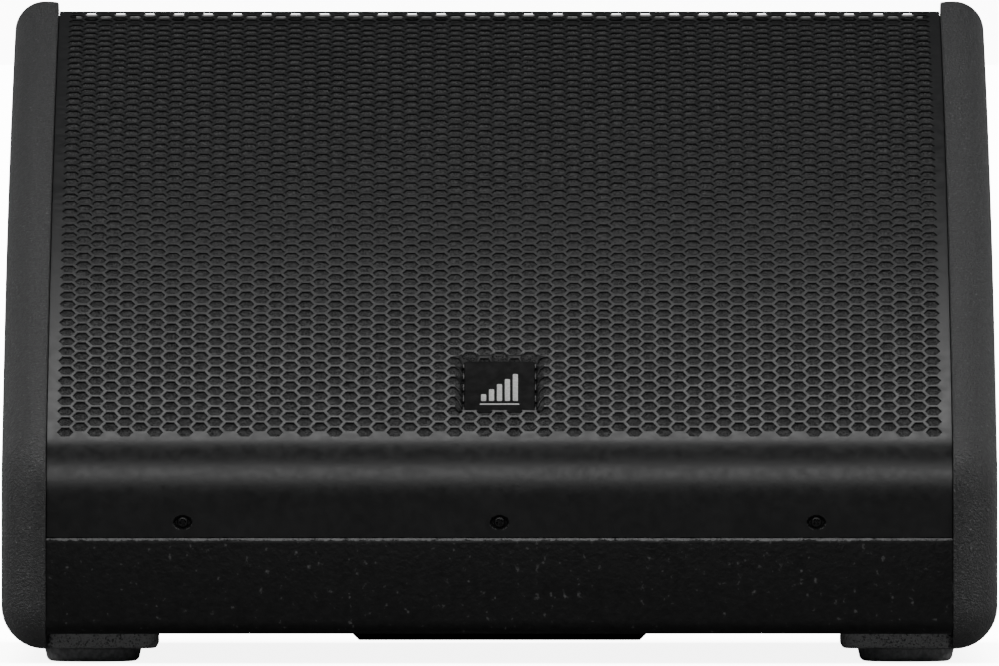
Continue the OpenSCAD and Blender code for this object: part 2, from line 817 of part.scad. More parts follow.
// Circuit board, with a transformer, a cooled converter and two capacitors on its inner face
board = [250, 150, 1.6];
board_z = -34;
standoff_r = 3;
standoff_places = [[-115, 68], [115, 68], [-115, -68], [115, 20]];
board_blocks = [[70, 20], [-70, 40]];
board_block_sizes = [[52, 42, 28], [40, 26, 14]];
capacitor_places = [[-60, -30], [-28, -30]];
capacitor_r = 12;
capacitor_h = 27;
module circuit_board() {
    back = board_z - board[2] + hair;
    color(board_green) at_rear(0, 0) {
        block(board[0], board[1], board_z - board[2], board_z);
        for (i = [0:1]) translate(board_blocks[i])
            block(board_block_sizes[i][0], board_block_sizes[i][1], board_z - board_block_sizes[i][2], back);
        for (p = capacitor_places) translate(p) rod(capacitor_r, board_z - capacitor_h, back);
    }
}
module board_standoffs() {
    color(steel) for (p = standoff_places) at_rear(p[0], p[1]) rod(standoff_r, board_z, plate_in);
}

// Mains inlet with a fuse drawer below the socket
cavity = [24.4, 16.4];
cavity_y = 10;
cavity_floor = -11;
drawer = [24, 10];
drawer_y = -13;
drawer_floor = -21;
inlet_flange = [50, 54];
inlet_depth = 26;
module mains_inlet() {
    cut = 4;
    color(plain_black) at_rear(inlet_at[0], inlet_at[1]) difference() {
        union() {
            block(inlet_flange[0], inlet_flange[1], plate_out, flange_out);
            block(inlet_body[0], inlet_body[1], -inlet_depth, plate_out + hair);
        }
        translate([0, cavity_y, cavity_floor]) linear_extrude(height = inlet_depth) polygon([
            [-cavity[0] / 2, -cavity[1] / 2], [cavity[0] / 2, -cavity[1] / 2],
            [cavity[0] / 2, cavity[1] / 2 - cut], [cavity[0] / 2 - cut, cavity[1] / 2],
            [cut - cavity[0] / 2, cavity[1] / 2], [-cavity[0] / 2, cavity[1] / 2 - cut]]);
        translate([0, drawer_y, 0]) block(drawer[0], drawer[1], drawer_floor, cut_out);
    }
}
module mains_blades() {
    color(steel) at_rear(inlet_at[0], inlet_at[1]) for (p = [[-7, 8], [7, 8], [0, 13]])
        translate([p[0], p[1], 0]) block(2, 4, cavity_floor, flange_out - 3);
}
module fuse_drawer() {
    lip = 1.2;
    color(plain_black) at_rear(inlet_at[0], inlet_at[1]) translate([0, drawer_y, 0]) difference() {
        block(drawer[0] - 2 * slack, drawer[1] - 2 * slack, drawer_floor + slack, flange_out + lip);
        translate([0, 0, -6]) rotate([0, 90, 0]) rod(2.7, -10, 10);
        translate([0, -drawer[1] / 2, flange_out]) block(8, 3, -1.5, 5);
    }
}

// Rocker switch: the rocker turns on two short pins in the frame
switch_cavity = [15.6, 23.8];
pivot_z = 2;
pin_r = 1.2;
pin_reach = 9.2;
rocker_lean = 8;
rocker_w = 14.8;
switch_flange = [24, 32];
switch_depth = 18;
switch_floor = -6;
module switch_frame() {
    color(plain_black) at_rear(switch_at[0], switch_at[1]) difference() {
        union() {
            block(switch_flange[0], switch_flange[1], plate_out, flange_out);
            block(switch_body[0], switch_body[1], -switch_depth, plate_out + hair);
        }
        block(switch_cavity[0], switch_cavity[1], switch_floor, cut_out);
        translate([0, 0, pivot_z]) rotate([0, 90, 0])
            rod(pin_r + running_fit, -pin_reach - 2 * hair, pin_reach + 2 * hair);
    }
}
module power_rocker() {
    half_l = 11;
    wing = 4;
    color(plain_black) at_rear(switch_at[0], switch_at[1]) translate([0, 0, pivot_z]) {
        rotate([rocker_lean, 0, 0]) translate([-rocker_w / 2, 0, 0]) rotate([90, 0, 90])
            linear_extrude(height = rocker_w) polygon([
                [-half_l, -wing], [half_l, -wing], [half_l, wing + 1.6], [0, wing - 0.4],
                [-half_l, wing + 1.6]]);
        rotate([0, 90, 0]) rod(pin_r, -pin_reach, pin_reach);
    }
}

// Round locking sockets
shell_r = 9.7;
core_r = 7.6;
socket_depth = 20;
insert_floor = -8;
latch_floor = -12;
contact_r = 1.3;
contact_ring_r = 4.2;
contact_floor = -6;
contact_angles = [90, 210, 330];
link_floor = -10;
link_pin_r = 1.15;
link_pin_ring_r = 5.2;
link_pin_end = 3;
module socket_flange() {
    x = 13;
    y = 15.5;
    corner = 4;
    linear_extrude(height = flange_out - plate_out) polygon([
        [corner - x, -y], [x - corner, -y], [x, corner - y], [x, y - corner],
        [x - corner, y], [corner - x, y], [-x, y - corner], [-x, corner - y]]);
}
module socket_body() {
    translate([0, 0, plate_out]) socket_flange();
    rod(socket_r, -socket_depth, plate_out + hair);
}
// Input socket: a shell with a slot for the latch, and an insert that holds three contacts
module input_socket(i) {
    color(plain_black) at_rear(inputs[i][0], inputs[i][1]) {
        difference() {
            socket_body();
            rod(shell_r, insert_floor, cut_out);
            translate(latch_at) block(
                latch_size[0] + 2 * slack, latch_size[1] + 2 * slack, latch_floor, cut_out);
        }
        difference() {
            rod(core_r, insert_floor + film, flange_out);
            for (a = contact_angles)
                rotate([0, 0, a]) translate([contact_ring_r, 0, 0]) rod(contact_r, contact_floor, cut_out);
        }
    }
}
module input_socket_1() {
    input_socket(0);
}
module input_socket_2() {
    input_socket(1);
}
module latch_tab(i) {
    color(screw_black) at_rear(inputs[i][0], inputs[i][1]) translate(latch_at)
        block(latch_size[0], latch_size[1], latch_inner, flange_out + latch_proud);
}
module latch_tab_1() {
    latch_tab(0);
}
module latch_tab_2() {
    latch_tab(1);
}
module link_socket() {
    color(plain_black) at_rear(link[0], link[1]) difference() {
        socket_body();
        rod(shell_r, link_floor, cut_out);
    }
}
module link_pins() {
    color("silver") at_rear(link[0], link[1]) for (a = contact_angles)
        rotate([0, 0, a]) translate([link_pin_ring_r, 0, 0]) rod(link_pin_r, link_floor, link_pin_end);
}

// Level controls: the knob's shaft turns in the control's bushing
shaft_r = 3;
shaft_end = -9.5;
knob_r = 8;
knob_gap = 1.2;
knob_skirt = 2.8;
knob_out = 18;
control_body = [17, 17];
control_depth = 14;
module potentiometers() {
    color(steel) for (p = knobs) at_rear(p[0], p[1]) difference() {
        union() {
            block(control_body[0], control_body[1], -control_depth, cut_in);
            rod(bushing_r, cut_in - hair, plate_out + 0.5);
        }
        rod(shaft_r + running_fit, shaft_end - 0.5, cut_out);
    }
}
module level_knob(i) {
    start = plate_out + knob_gap;
    color(plain_black) at_rear(knobs[i][0], knobs[i][1]) difference() {
        union() {
            rotate_extrude() polygon([
                [0, start], [knob_r, start], [knob_r, start + knob_skirt],
                [knob_r - 1.2, knob_out - 1], [knob_r - 2.2, knob_out], [0, knob_out]]);
            rod(shaft_r, shaft_end, start + hair);
        }
        translate([0, knob_r, 0]) block(1, 6, knob_out - 0.8, knob_out + 1);
    }
}
module level_knob_1() {
    level_knob(0);
}
module level_knob_2() {
    level_knob(1);
}

module indicator_lenses() {
    color(lens_green) for (p = lenses) at_rear(p[0], p[1]) rotate_extrude() polygon(concat(
        [[0, -6], [lens_r, -6]],
        [for (a = [0:15:90]) [lens_r * cos(a), plate_out + 1.2 * sin(a)]]));
}

bottom_panel();
kick_panel();
rear_panel();
left_side_panel();
right_side_panel();
baffle();
left_cheek();
right_cheek();
cheek_screws();
front_left_foot();
front_right_foot();
rear_left_foot();
rear_right_foot();
foot_screws();
grille();
grille_foam();
grille_screws();
badge();
handle_cup();
handle_bar();
handle_screws();
left_port_tube();
right_port_tube();
damping_wadding();
driver_basket();
driver_gasket();
driver_screws();
woofer_magnet();
front_pole_plate();
back_pole_plate();
horn();
hf_housing();
hf_rear_cap();
woofer_cone();
voice_coil();
surround();
spider();
hf_diaphragm();
amp_panel();
amp_gasket();
amp_back_box();
amp_screws();
heat_sink();
circuit_board();
board_standoffs();
mains_inlet();
mains_blades();
fuse_drawer();
switch_frame();
power_rocker();
input_socket_1();
input_socket_2();
latch_tab_1();
latch_tab_2();
link_socket();
link_pins();
potentiometers();
level_knob_1();
level_knob_2();
indicator_lenses();
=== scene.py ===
import json
import math

import bmesh
import bpy
import numpy as np
from mathutils import Matrix, Vector

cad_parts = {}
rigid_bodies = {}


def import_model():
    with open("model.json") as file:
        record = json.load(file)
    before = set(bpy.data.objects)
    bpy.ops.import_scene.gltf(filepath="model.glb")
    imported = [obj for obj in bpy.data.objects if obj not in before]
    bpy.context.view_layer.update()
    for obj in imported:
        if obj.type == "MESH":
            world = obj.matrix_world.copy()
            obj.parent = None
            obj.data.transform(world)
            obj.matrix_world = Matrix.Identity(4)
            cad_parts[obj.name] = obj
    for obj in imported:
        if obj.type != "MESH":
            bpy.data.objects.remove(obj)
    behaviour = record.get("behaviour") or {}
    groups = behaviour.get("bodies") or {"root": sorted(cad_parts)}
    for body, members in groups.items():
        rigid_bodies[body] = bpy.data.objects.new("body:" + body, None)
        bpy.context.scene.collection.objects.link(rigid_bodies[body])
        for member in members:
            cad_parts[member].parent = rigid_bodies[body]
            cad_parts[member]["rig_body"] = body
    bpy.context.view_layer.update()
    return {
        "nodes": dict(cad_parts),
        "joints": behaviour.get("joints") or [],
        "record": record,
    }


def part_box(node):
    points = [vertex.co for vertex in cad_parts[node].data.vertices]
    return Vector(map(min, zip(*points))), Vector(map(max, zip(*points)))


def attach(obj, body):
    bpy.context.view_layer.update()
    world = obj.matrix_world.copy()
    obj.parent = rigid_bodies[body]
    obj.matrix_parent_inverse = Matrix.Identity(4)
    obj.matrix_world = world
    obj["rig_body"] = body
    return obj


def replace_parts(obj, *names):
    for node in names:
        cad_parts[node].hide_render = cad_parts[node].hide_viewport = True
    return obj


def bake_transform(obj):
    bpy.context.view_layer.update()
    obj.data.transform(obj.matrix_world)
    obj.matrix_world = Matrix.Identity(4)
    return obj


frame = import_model()
nodes = frame["nodes"]
ROOT = "cabinet"

# -------- dimensions, in metres
HALF_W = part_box("right_cheek")[1].x
HALF_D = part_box("right_cheek")[1].y
CAB_W = 2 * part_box("bottom_panel")[1].x
GRILLE_HALF_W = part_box("grille")[1].x
BASE_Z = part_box("bottom_panel")[0].z
FOOT_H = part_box("front_left_foot")[1].z

# Side profile of the grille and the cheeks: u is the depth behind the cheeks' front
SKIRT_U = 0.0055
SKIRT_Z = 0.073
BEND_Z = 0.095
BEND_R = 0.045
SLOPE_LOW = math.radians(36.9)
SLOPE_MID = math.radians(25.2)
SLOPE_TOP = math.radians(16.3)
LOWER_R = 1.33
UPPER_R = 1.9
CHEEK_LIP = 0.0055
SHEET_T = 0.001
FOAM_T = 0.010
UPRIGHT = math.radians(90)
BEND_L = BEND_R * (UPRIGHT - SLOPE_LOW)
LOWER_L = LOWER_R * (SLOPE_LOW - SLOPE_MID)
GRILLE_L = LOWER_L + UPPER_R * (SLOPE_MID - SLOPE_TOP)
SKIRT_L = BEND_Z - SKIRT_Z

# Perforation: hexagonal holes whose corners point sideways
COLUMNS = 59
ROWS = 56
HOLE_APOTHEM = 0.004
CELL_APOTHEM = 0.005
CHAMFER = 0.0003
REAR_MARGIN = 0.0005
HEX = 2 / math.sqrt(3)
ROW_STRETCH = (GRILLE_L - REAR_MARGIN) / (HOLE_APOTHEM + 2 * CELL_APOTHEM * ROWS)

# Pocket for the badge, and the recesses of the skirt's screws
POCKET_S = 0.0525
POCKET_HALF = (0.0257, 0.0275)
POCKET_WALL = 0.0046
POCKET_DEPTH = 0.005
BADGE_LIFT = math.radians(5)
SCREW_X = [-0.183, 0, 0.183]
SCREW_Z = 0.0817
RECESS_HALF = (0.0057, 0.0041)
RECESS_DEPTH = 0.003


# -------- side profile
def outward(a):
    """Unit vector that points out of the side profile where it heads in direction a."""
    return np.array([-math.sin(a), math.cos(a)])


def turned(p, r, a0, a1):
    """End of an arc that starts at p and turns clockwise from direction a0 to a1."""
    return np.array(p) + r * np.array([math.sin(a0) - math.sin(a1), math.cos(a1) - math.cos(a0)])


NOSE = turned((SKIRT_U, BEND_Z), BEND_R, UPRIGHT, SLOPE_LOW)
MIDDLE = turned(NOSE, LOWER_R, SLOPE_LOW, SLOPE_MID)
TOP = turned(MIDDLE, UPPER_R, SLOPE_MID, SLOPE_TOP)


def grille_profile(s):
    """Depth, height and direction of the grille's outer face, s along it from the nose."""
    s = np.asarray(s, float)
    a = np.where(s > 0, SLOPE_LOW - s / LOWER_R, np.minimum(SLOPE_LOW - s / BEND_R, UPRIGHT))
    a = np.where(s > LOWER_L, SLOPE_MID - (s - LOWER_L) / UPPER_R, a)
    below = np.minimum(s + BEND_L, 0)
    u = SKIRT_U + BEND_R * (1 - np.sin(a))
    z = BEND_Z + BEND_R * np.cos(a) + below
    u = np.where(s > 0, NOSE[0] + LOWER_R * (math.sin(SLOPE_LOW) - np.sin(a)), u)
    z = np.where(s > 0, NOSE[1] + LOWER_R * (np.cos(a) - math.cos(SLOPE_LOW)), z)
    u = np.where(s > LOWER_L, MIDDLE[0] + UPPER_R * (math.sin(SLOPE_MID) - np.sin(a)), u)
    z = np.where(s > LOWER_L, MIDDLE[1] + UPPER_R * (np.cos(a) - math.cos(SLOPE_MID)), z)
    return u, z, a


def on_grille(x, s, depth):
    """Points in the frame that lie s along the grille and depth below its outer face."""
    u, z, a = grille_profile(s)
    return np.column_stack([x, u + depth * np.sin(a) - HALF_D, z - depth * np.cos(a)])


def ramp(t):
    """Smooth step from 0 to 1."""
    t = np.clip(t, 0, 1)
    return t * t * (3 - 2 * t)


def pressed(x, s):
    """How deep the sheet is pressed in: the badge's pocket and the screws' recesses."""
    floor = POCKET_DEPTH - (s - POCKET_S) * math.tan(BADGE_LIFT)
    wall = np.minimum(POCKET_HALF[0] - np.abs(x), POCKET_HALF[1] - np.abs(s - POCKET_S))
    depth = floor * np.clip(wall / POCKET_WALL, 0, 1)
    height = BEND_Z + s + BEND_L
    for screw_x in SCREW_X:
        reach = np.hypot((x - screw_x) / RECESS_HALF[0], (height - SCREW_Z) / RECESS_HALF[1])
        depth = depth + RECESS_DEPTH * ramp((1 - reach) / 0.3)
    return depth


# -------- mesh helpers
def outward_faces(mesh):
    """Turns every face of a closed solid outwards."""
    bm = bmesh.new()
    bm.from_mesh(mesh)
    bmesh.ops.recalc_face_normals(bm, faces=bm.faces)
    bm.to_mesh(mesh)
    bm.free()


def new_piece(name, points, faces, material, body=ROOT, sharp=35):
    """Makes a smooth-shaded mesh piece that rides on a body; edges over sharp degrees stay crisp."""
    mesh = bpy.data.meshes.new(name)
    mesh.from_pydata([tuple(map(float, p)) for p in points], [], faces)
    return finish_piece(name, mesh, material, body, sharp)


def finish_piece(name, mesh, material, body=ROOT, sharp=35):
    mesh.validate()
    outward_faces(mesh)
    mesh.polygons.foreach_set("use_smooth", [True] * len(mesh.polygons))
    mesh.set_sharp_from_angle(angle=math.radians(sharp))
    mesh.materials.clear()
    mesh.materials.append(MATERIALS[material])
    piece = bpy.data.objects.new(name, mesh)
    bpy.context.scene.collection.objects.link(piece)
    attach(piece, body)
    return piece


def loft(rings, caps=True):
    """Points and faces of a solid drawn through closed rings of equal length."""
    n = len(rings[0])
    points = [p for ring in rings for p in ring]
    faces = []
    for k in range(len(rings) - 1):
        a, b = k * n, (k + 1) * n
        faces += [(a + i, a + (i + 1) % n, b + (i + 1) % n, b + i) for i in range(n)]
    if caps:
        faces.append(tuple(reversed(range(n))))
        faces.append(tuple(range(len(points) - n, len(points))))
    return points, faces


def slab_faces(nx, ny):
    """Faces of a slab whose points are an nx by ny grid on top, then the same grid below."""
    n = nx * ny
    faces = []
    for j in range(ny - 1):
        for i in range(nx - 1):
            a = j * nx + i
            faces.append((a, a + 1, a + nx + 1, a + nx))
            faces.append((n + a, n + a + nx, n + a + nx + 1, n + a + 1))
    rim = (list(range(nx)) + [j * nx + nx - 1 for j in range(1, ny)]
           + [(ny - 1) * nx + i for i in range(nx - 2, -1, -1)] + [j * nx for j in range(ny - 2, 0, -1)])
    return faces + [(b, a, n + a, n + b) for a, b in zip(rim, rim[1:] + rim[:1])]


def lathe(profile, place, steps=64, flutes=0, flute_depth=0.0):
    """Turns a closed profile of (radius, height) points round the local z axis. A third number
    says how deep the flutes cut there, from 0 to 1."""
    points, faces = [], []
    for i in range(steps):
        t = 2 * math.pi * i / steps
        for r, z, *fluted in profile:
            r = r - sum(fluted) * flute_depth * (0.5 - 0.5 * math.cos(flutes * t))
            points.append(place @ Vector((r * math.cos(t), r * math.sin(t), z)))
    n = len(profile)
    for i in range(steps):
        a, b = i * n, (i + 1) % steps * n
        faces += [(a + k, b + k, b + (k + 1) % n, a + (k + 1) % n) for k in range(n)]
    return points, faces


def arc(centre, r, a0, a1, steps=6):
    """Points on a circle's arc, with angles in degrees."""
    turns = np.radians(np.linspace(a0, a1, steps + 1))
    return [(centre[0] + r * math.cos(t), centre[1] + r * math.sin(t)) for t in turns]


def rounded_rectangle(w, h, r, steps=5):
    x, y = w / 2 - r, h / 2 - r
    return (arc((x, y), r, 0, 90, steps) + arc((-x, y), r, 90, 180, steps)
            + arc((-x, -y), r, 180, 270, steps) + arc((x, -y), r, 270, 360, steps))


def pillow(outline, z0, z1, edge, place, steps=3):
    """A plate of the given outline with its upper edge rounded by edge."""
    centre = np.mean(outline, axis=0)
    rings = [[place @ Vector((*p, z0)) for p in outline]]
    size = np.max(np.abs(np.array(outline) - centre), axis=0)
    for k in range(steps + 1):
        t = UPRIGHT * k / steps
        shrink = 1 - edge * (1 - math.cos(t)) / size
        ring = centre + (np.array(outline) - centre) * shrink
        rings.append([place @ Vector((*p, z1 - edge + edge * math.sin(t))) for p in ring])
    return loft(rings)


def softened(node, material, width, body=ROOT, angle=30, sharp=35):
    """A copy of a CAD node's mesh whose crisp edges are rounded, which stands for that node."""
    bm = bmesh.new()
    bm.from_mesh(nodes[node].data)
    bmesh.ops.remove_doubles(bm, verts=bm.verts, dist=2e-6)
    bmesh.ops.dissolve_limit(bm, angle_limit=math.radians(0.5), verts=bm.verts, edges=bm.edges,
                             use_dissolve_boundaries=False)
    crisp = [e for e in bm.edges if len(e.link_faces) == 2
             and e.calc_face_angle(0) > math.radians(angle)]
    bmesh.ops.bevel(bm, geom=crisp, offset=width, segments=2, profile=0.5, affect="EDGES",
                    clamp_overlap=True)
    mesh = bpy.data.meshes.new(node + "_soft")
    bm.to_mesh(mesh)
    bm.free()
    piece = finish_piece(node + "_finished", mesh, material, body, sharp)
    shading = piece.modifiers.new("weighted_normals", "WEIGHTED_NORMAL")
    shading.keep_sharp = True
    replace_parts(piece, node)
    return piece


# -------- materials
class Recipe:
    """One node material round a Principled shader. Sizes of patterns are in metres."""

    def __init__(self, name, rough, **sockets):
        self.name = name
        self.material = bpy.data.materials.new(name)
        self.material.use_nodes = True
        self.shader = self.material.node_tree.nodes["Principled BSDF"]
        self.set(self.shader, Roughness=rough, **sockets)
        self.place = self.add("TexCoord").outputs["Object"]
        self.height = None

    def add(self, kind, **settings):
        made = self.material.node_tree.nodes.new("ShaderNode" + kind)
        self.set(made, **settings)
        return made

    def set(self, made, **settings):
        for key, value in settings.items():
            if hasattr(value, "is_linked"):
                self.material.node_tree.links.new(value, made.inputs[key.replace("_", " ")])
            elif key[0].isupper() or key == "W":
                made.inputs[key.replace("_", " ")].default_value = value
            else:
                setattr(made, key, value)

    def stretched(self, stretch):
        return self.add("Mapping", Vector=self.place, Scale=stretch).outputs[0]

    def noise(self, size, detail=3.0, stretch=(1, 1, 1)):
        made = self.add("TexNoise", Vector=self.stretched(stretch), Scale=1 / size, Detail=detail)
        return made.outputs["Fac"]

    def cells(self, size, feature="F1", stretch=(1, 1, 1)):
        made = self.add("TexVoronoi", feature=feature, Vector=self.stretched(stretch), Scale=1 / size)
        return made.outputs["Distance"]

    def math(self, operation, *values):
        """One Math node; its values are other nodes' outputs or numbers."""
        made = self.add("Math", operation=operation)
        for value, socket in zip(values, made.inputs):
            if hasattr(value, "is_linked"):
                self.material.node_tree.links.new(value, socket)
            else:
                socket.default_value = value
        return made.outputs[0]

    def mapped(self, value, low, high, to_low, to_high):
        made = self.add("MapRange", Value=value)
        self.set(made, From_Min=low, From_Max=high, To_Min=to_low, To_Max=to_high)
        return made.outputs[0]

    def colours(self, value, dark, light, low=0.35, high=0.65):
        """Base colour that goes from dark to light as value rises."""
        ramp_node = self.add("ValToRGB", Fac=value)
        stops = ramp_node.color_ramp.elements
        stops[0].position, stops[0].color = low, (*dark, 1)
        stops[1].position, stops[1].color = high, (*light, 1)
        self.set(self.shader, Base_Color=ramp_node.outputs["Color"])
        return self

    def band(self, axis, start, full):
        """Goes from 0 to 1 as the distance from the origin along an axis goes from start to full."""
        place = self.add("SeparateXYZ", Vector=self.place).outputs[axis]
        return self.mapped(self.math("ABSOLUTE", place), start, full, 0, 1)

    def painted_highlight(self, value, speckle, bare, *bands):
        """Adds a painted highlight to what colours() set: a lighter, speckled stretch in the colour bare,
        where all the bands are 1.
        """
        amount = self.mapped(speckle, 0.25, 0.6, 0.3, 1)
        for band in bands:
            amount = self.math("MULTIPLY", amount, band)
        ramp_node = self.shader.inputs["Base Color"].links[0].from_node
        stop = ramp_node.color_ramp.elements.new(0.95)
        stop.color = (*bare, 1)
        self.set(ramp_node, Fac=self.math("MULTIPLY_ADD", amount, 0.6, value))
        return self

    def roughness(self, value, low, high):
        self.set(self.shader, Roughness=self.mapped(value, 0.35, 0.65, low, high))
        return self

    def bump(self, value, depth):
        """Adds a bump; a later one lies on top of an earlier one."""
        made = self.add("Bump", Height=value, Distance=depth)
        if self.height:
            self.set(made, Normal=self.height)
        self.height = made.outputs["Normal"]
        self.set(self.shader, Normal=self.height)
        return self


def grey(value, warm=0.0):
    return (value * (1 + warm), value, value * (1 - warm))


def structure_paint():
    """Spattered textured paint on plywood, as speaker cabinets have."""
    r = Recipe("cabinet_paint", 0.5, Specular_IOR_Level=0.3)
    spatter = r.noise(0.004, 4)
    r.colours(spatter, grey(0.0045), grey(0.0095))
    # Painted highlight: a lighter, speckled line along the front of the kick board's rounded top edge, in
    # place of light that the lamps don't bring there.
    r.painted_highlight(spatter, r.noise(0.0009, 2), grey(0.3), r.band("Z", SKIRT_Z - 0.0024, SKIRT_Z - 0.0014),
           r.band("Y", HALF_D - 0.0065, HALF_D - 0.0055))
    r.roughness(r.noise(0.012), 0.42, 0.6)
    r.bump(r.noise(0.0034, 2), 0.00038)
    return r.bump(r.cells(0.0016, "SMOOTH_F1"), 0.0001)


def cheek_moulding():
    """Foamed plastic with a leather-like grain."""
    r = Recipe("cheek_moulding", 0.43, Specular_IOR_Level=0.95)
    grain = r.noise(0.0016, 3)
    r.colours(grain, grey(0.019), grey(0.037))
    # Painted highlight: the foot pads' tongues under the cabinet are lighter and speckled, in place of the
    # light that they would catch.
    r.painted_highlight(grain, r.noise(0.0011, 2), grey(0.55), r.band("Z", BASE_Z + 0.001, BASE_Z - 0.0005),
           r.band("X", CAB_W / 2 + 0.001, CAB_W / 2 - 0.004))
    r.roughness(r.noise(0.0018), 0.34, 0.52)
    r.bump(grain, 0.0011)
    return r.bump(r.noise(0.0008, 2), 0.00045)


def powder_coat(name, dark, light, rough, peel=0.00004):
    """Satin powder coat with a faint orange peel."""
    r = Recipe(name, rough, Specular_IOR_Level=0.5)
    r.colours(r.noise(0.03, 3), grey(dark), grey(light))
    r.roughness(r.noise(0.006), rough - 0.04, rough + 0.05)
    return r.bump(r.noise(0.0014, 2), peel)


def open_foam():
    """Reticulated foam: light struts round dark cells."""
    r = Recipe("grille_foam", 0.9, Specular_IOR_Level=0.2)
    struts = r.cells(0.0013, "DISTANCE_TO_EDGE")
    r.colours(r.math("MULTIPLY_ADD", struts, -2.0, r.noise(0.0025, 4)), grey(0.022), grey(0.10), 0.0, 0.5)
    return r.bump(struts, -0.0011)


def moulded_plastic(name, dark, light, rough, grain=0.0007, depth=0.00005, **sockets):
    """Injection-moulded plastic with a fine spark-eroded texture."""
    r = Recipe(name, rough, Specular_IOR_Level=0.45, **sockets)
    r.colours(r.noise(0.009, 4), grey(dark), grey(light))
    r.roughness(r.noise(0.004), rough - 0.05, rough + 0.07)
    return r.bump(r.noise(grain, 2), depth)


def foot_rubber():
    """Matt rubber with dust and a faint mould bloom."""
    r = Recipe("foot_rubber", 0.62, Specular_IOR_Level=0.4)
    r.colours(r.noise(0.003, 5), grey(0.34), grey(0.6))
    r.roughness(r.noise(0.006), 0.52, 0.74)
    return r.bump(r.noise(0.0013, 3), 0.00018)


def metal(name, dark, light, rough, stretch=(1, 1, 1), depth=0.00002, size=0.0012):
    """Bare metal with fine marks that may run one way."""
    r = Recipe(name, rough, Metallic=1.0)
    r.colours(r.noise(size * 4, 4, stretch), dark, light)
    r.roughness(r.noise(size, 3, stretch), rough - 0.08, rough + 0.1)
    return r.bump(r.noise(size, 2, stretch), depth)


def fibres(name, dark, light, size, depth, sheen=0.3):
    """Matted fibre: paper, felt or wadding."""
    r = Recipe(name, 0.9, Specular_IOR_Level=0.2, Sheen_Weight=sheen)
    r.colours(r.noise(size * 3, 5, (1, 0.25, 1)), dark, light)
    r.bump(r.noise(size, 3, (0.3, 1, 1)), depth)
    return r.bump(r.noise(size, 3, (1, 0.3, 1)), depth)


def lens_plastic():
    """Clear tinted lens with a moulded diffusing pattern."""
    r = Recipe("lens_green", 0.2, Specular_IOR_Level=0.6, Coat_Weight=0.4)
    r.colours(r.noise(0.002, 2), (0.012, 0.07, 0.02), (0.03, 0.16, 0.05))
    r.roughness(r.noise(0.001), 0.15, 0.3)
    return r.bump(r.cells(0.0007), 0.00008)


def board_mask():
    """Solder mask over copper tracks."""
    r = Recipe("board_green", 0.35, Specular_IOR_Level=0.5)
    r.colours(r.cells(0.005, "F1", (1, 0.3, 1)), (0.006, 0.07, 0.03), (0.012, 0.16, 0.06))
    return r.bump(r.noise(0.002, 2, (1, 0.3, 1)), 0.00006)


def matt_black():
    """Deep matt lacquer on the badge's plate."""
    r = Recipe("badge_black", 0.55, Specular_IOR_Level=0.1)
    r.colours(r.noise(0.006, 3), grey(0.0012), grey(0.002))
    r.roughness(r.noise(0.005), 0.5, 0.62)
    return r.bump(r.noise(0.0008, 2), 0.00001)


def printed():
    """Screen-printed ink with slightly uneven cover."""
    r = Recipe("badge_print", 0.45, Specular_IOR_Level=0.4)
    r.colours(r.noise(0.0012, 4), grey(0.62, 0.01), grey(0.8, 0.01))
    r.roughness(r.noise(0.001), 0.4, 0.55)
    return r.bump(r.noise(0.0005, 2), 0.00001)


def wound_wire():
    """Fine copper winding of the voice coil."""
    r = Recipe("coil_metal", 0.3, Metallic=0.8)
    r.colours(r.noise(0.0006, 2, (0.1, 0.43, 0.9)), (0.45, 0.2, 0.08), (0.75, 0.42, 0.2))
    return r.bump(r.noise(0.0005, 1, (0.1, 0.43, 0.9)), 0.00008)


RECIPES = [
    structure_paint(), cheek_moulding(), open_foam(), foot_rubber(), matt_black(), printed(),
    lens_plastic(), board_mask(), wound_wire(),
    powder_coat("grille_steel", 0.010, 0.015, 0.36),
    powder_coat("screw_black", 0.006, 0.010, 0.4),
    powder_coat("basket_paint", 0.02, 0.035, 0.5, 0.0002),
    powder_coat("amp_plate", 0.010, 0.016, 0.42, 0.00005),
    moulded_plastic("moulded_black", 0.010, 0.018, 0.42),
    moulded_plastic("knob_black", 0.010, 0.017, 0.36, 0.0005, 0.00003),
    metal("bare_steel", grey(0.36), grey(0.52), 0.34),
    metal("contact_metal", grey(0.5, 0.03), grey(0.68, 0.03), 0.22),
    metal("diaphragm_metal", grey(0.6), grey(0.78), 0.3),
    metal("heat_sink_black", grey(0.022), grey(0.045), 0.42, (4, 4, 0.15), 0.00003),
    moulded_plastic("ferrite", 0.035, 0.06, 0.6, 0.0009, 0.0001),
    fibres("cone_paper", grey(0.02, 0.05), grey(0.05, 0.05), 0.0012, 0.0001, 0.2),
    fibres("spider_cloth", (0.25, 0.13, 0.04), (0.42, 0.25, 0.09), 0.0008, 0.0001),
    fibres("wadding", grey(0.5, 0.03), grey(0.72, 0.03), 0.0022, 0.0008),
    fibres("felt_grey", grey(0.3), grey(0.45), 0.0008, 0.0002),
]
MATERIALS = {r.name: r.material for r in RECIPES}


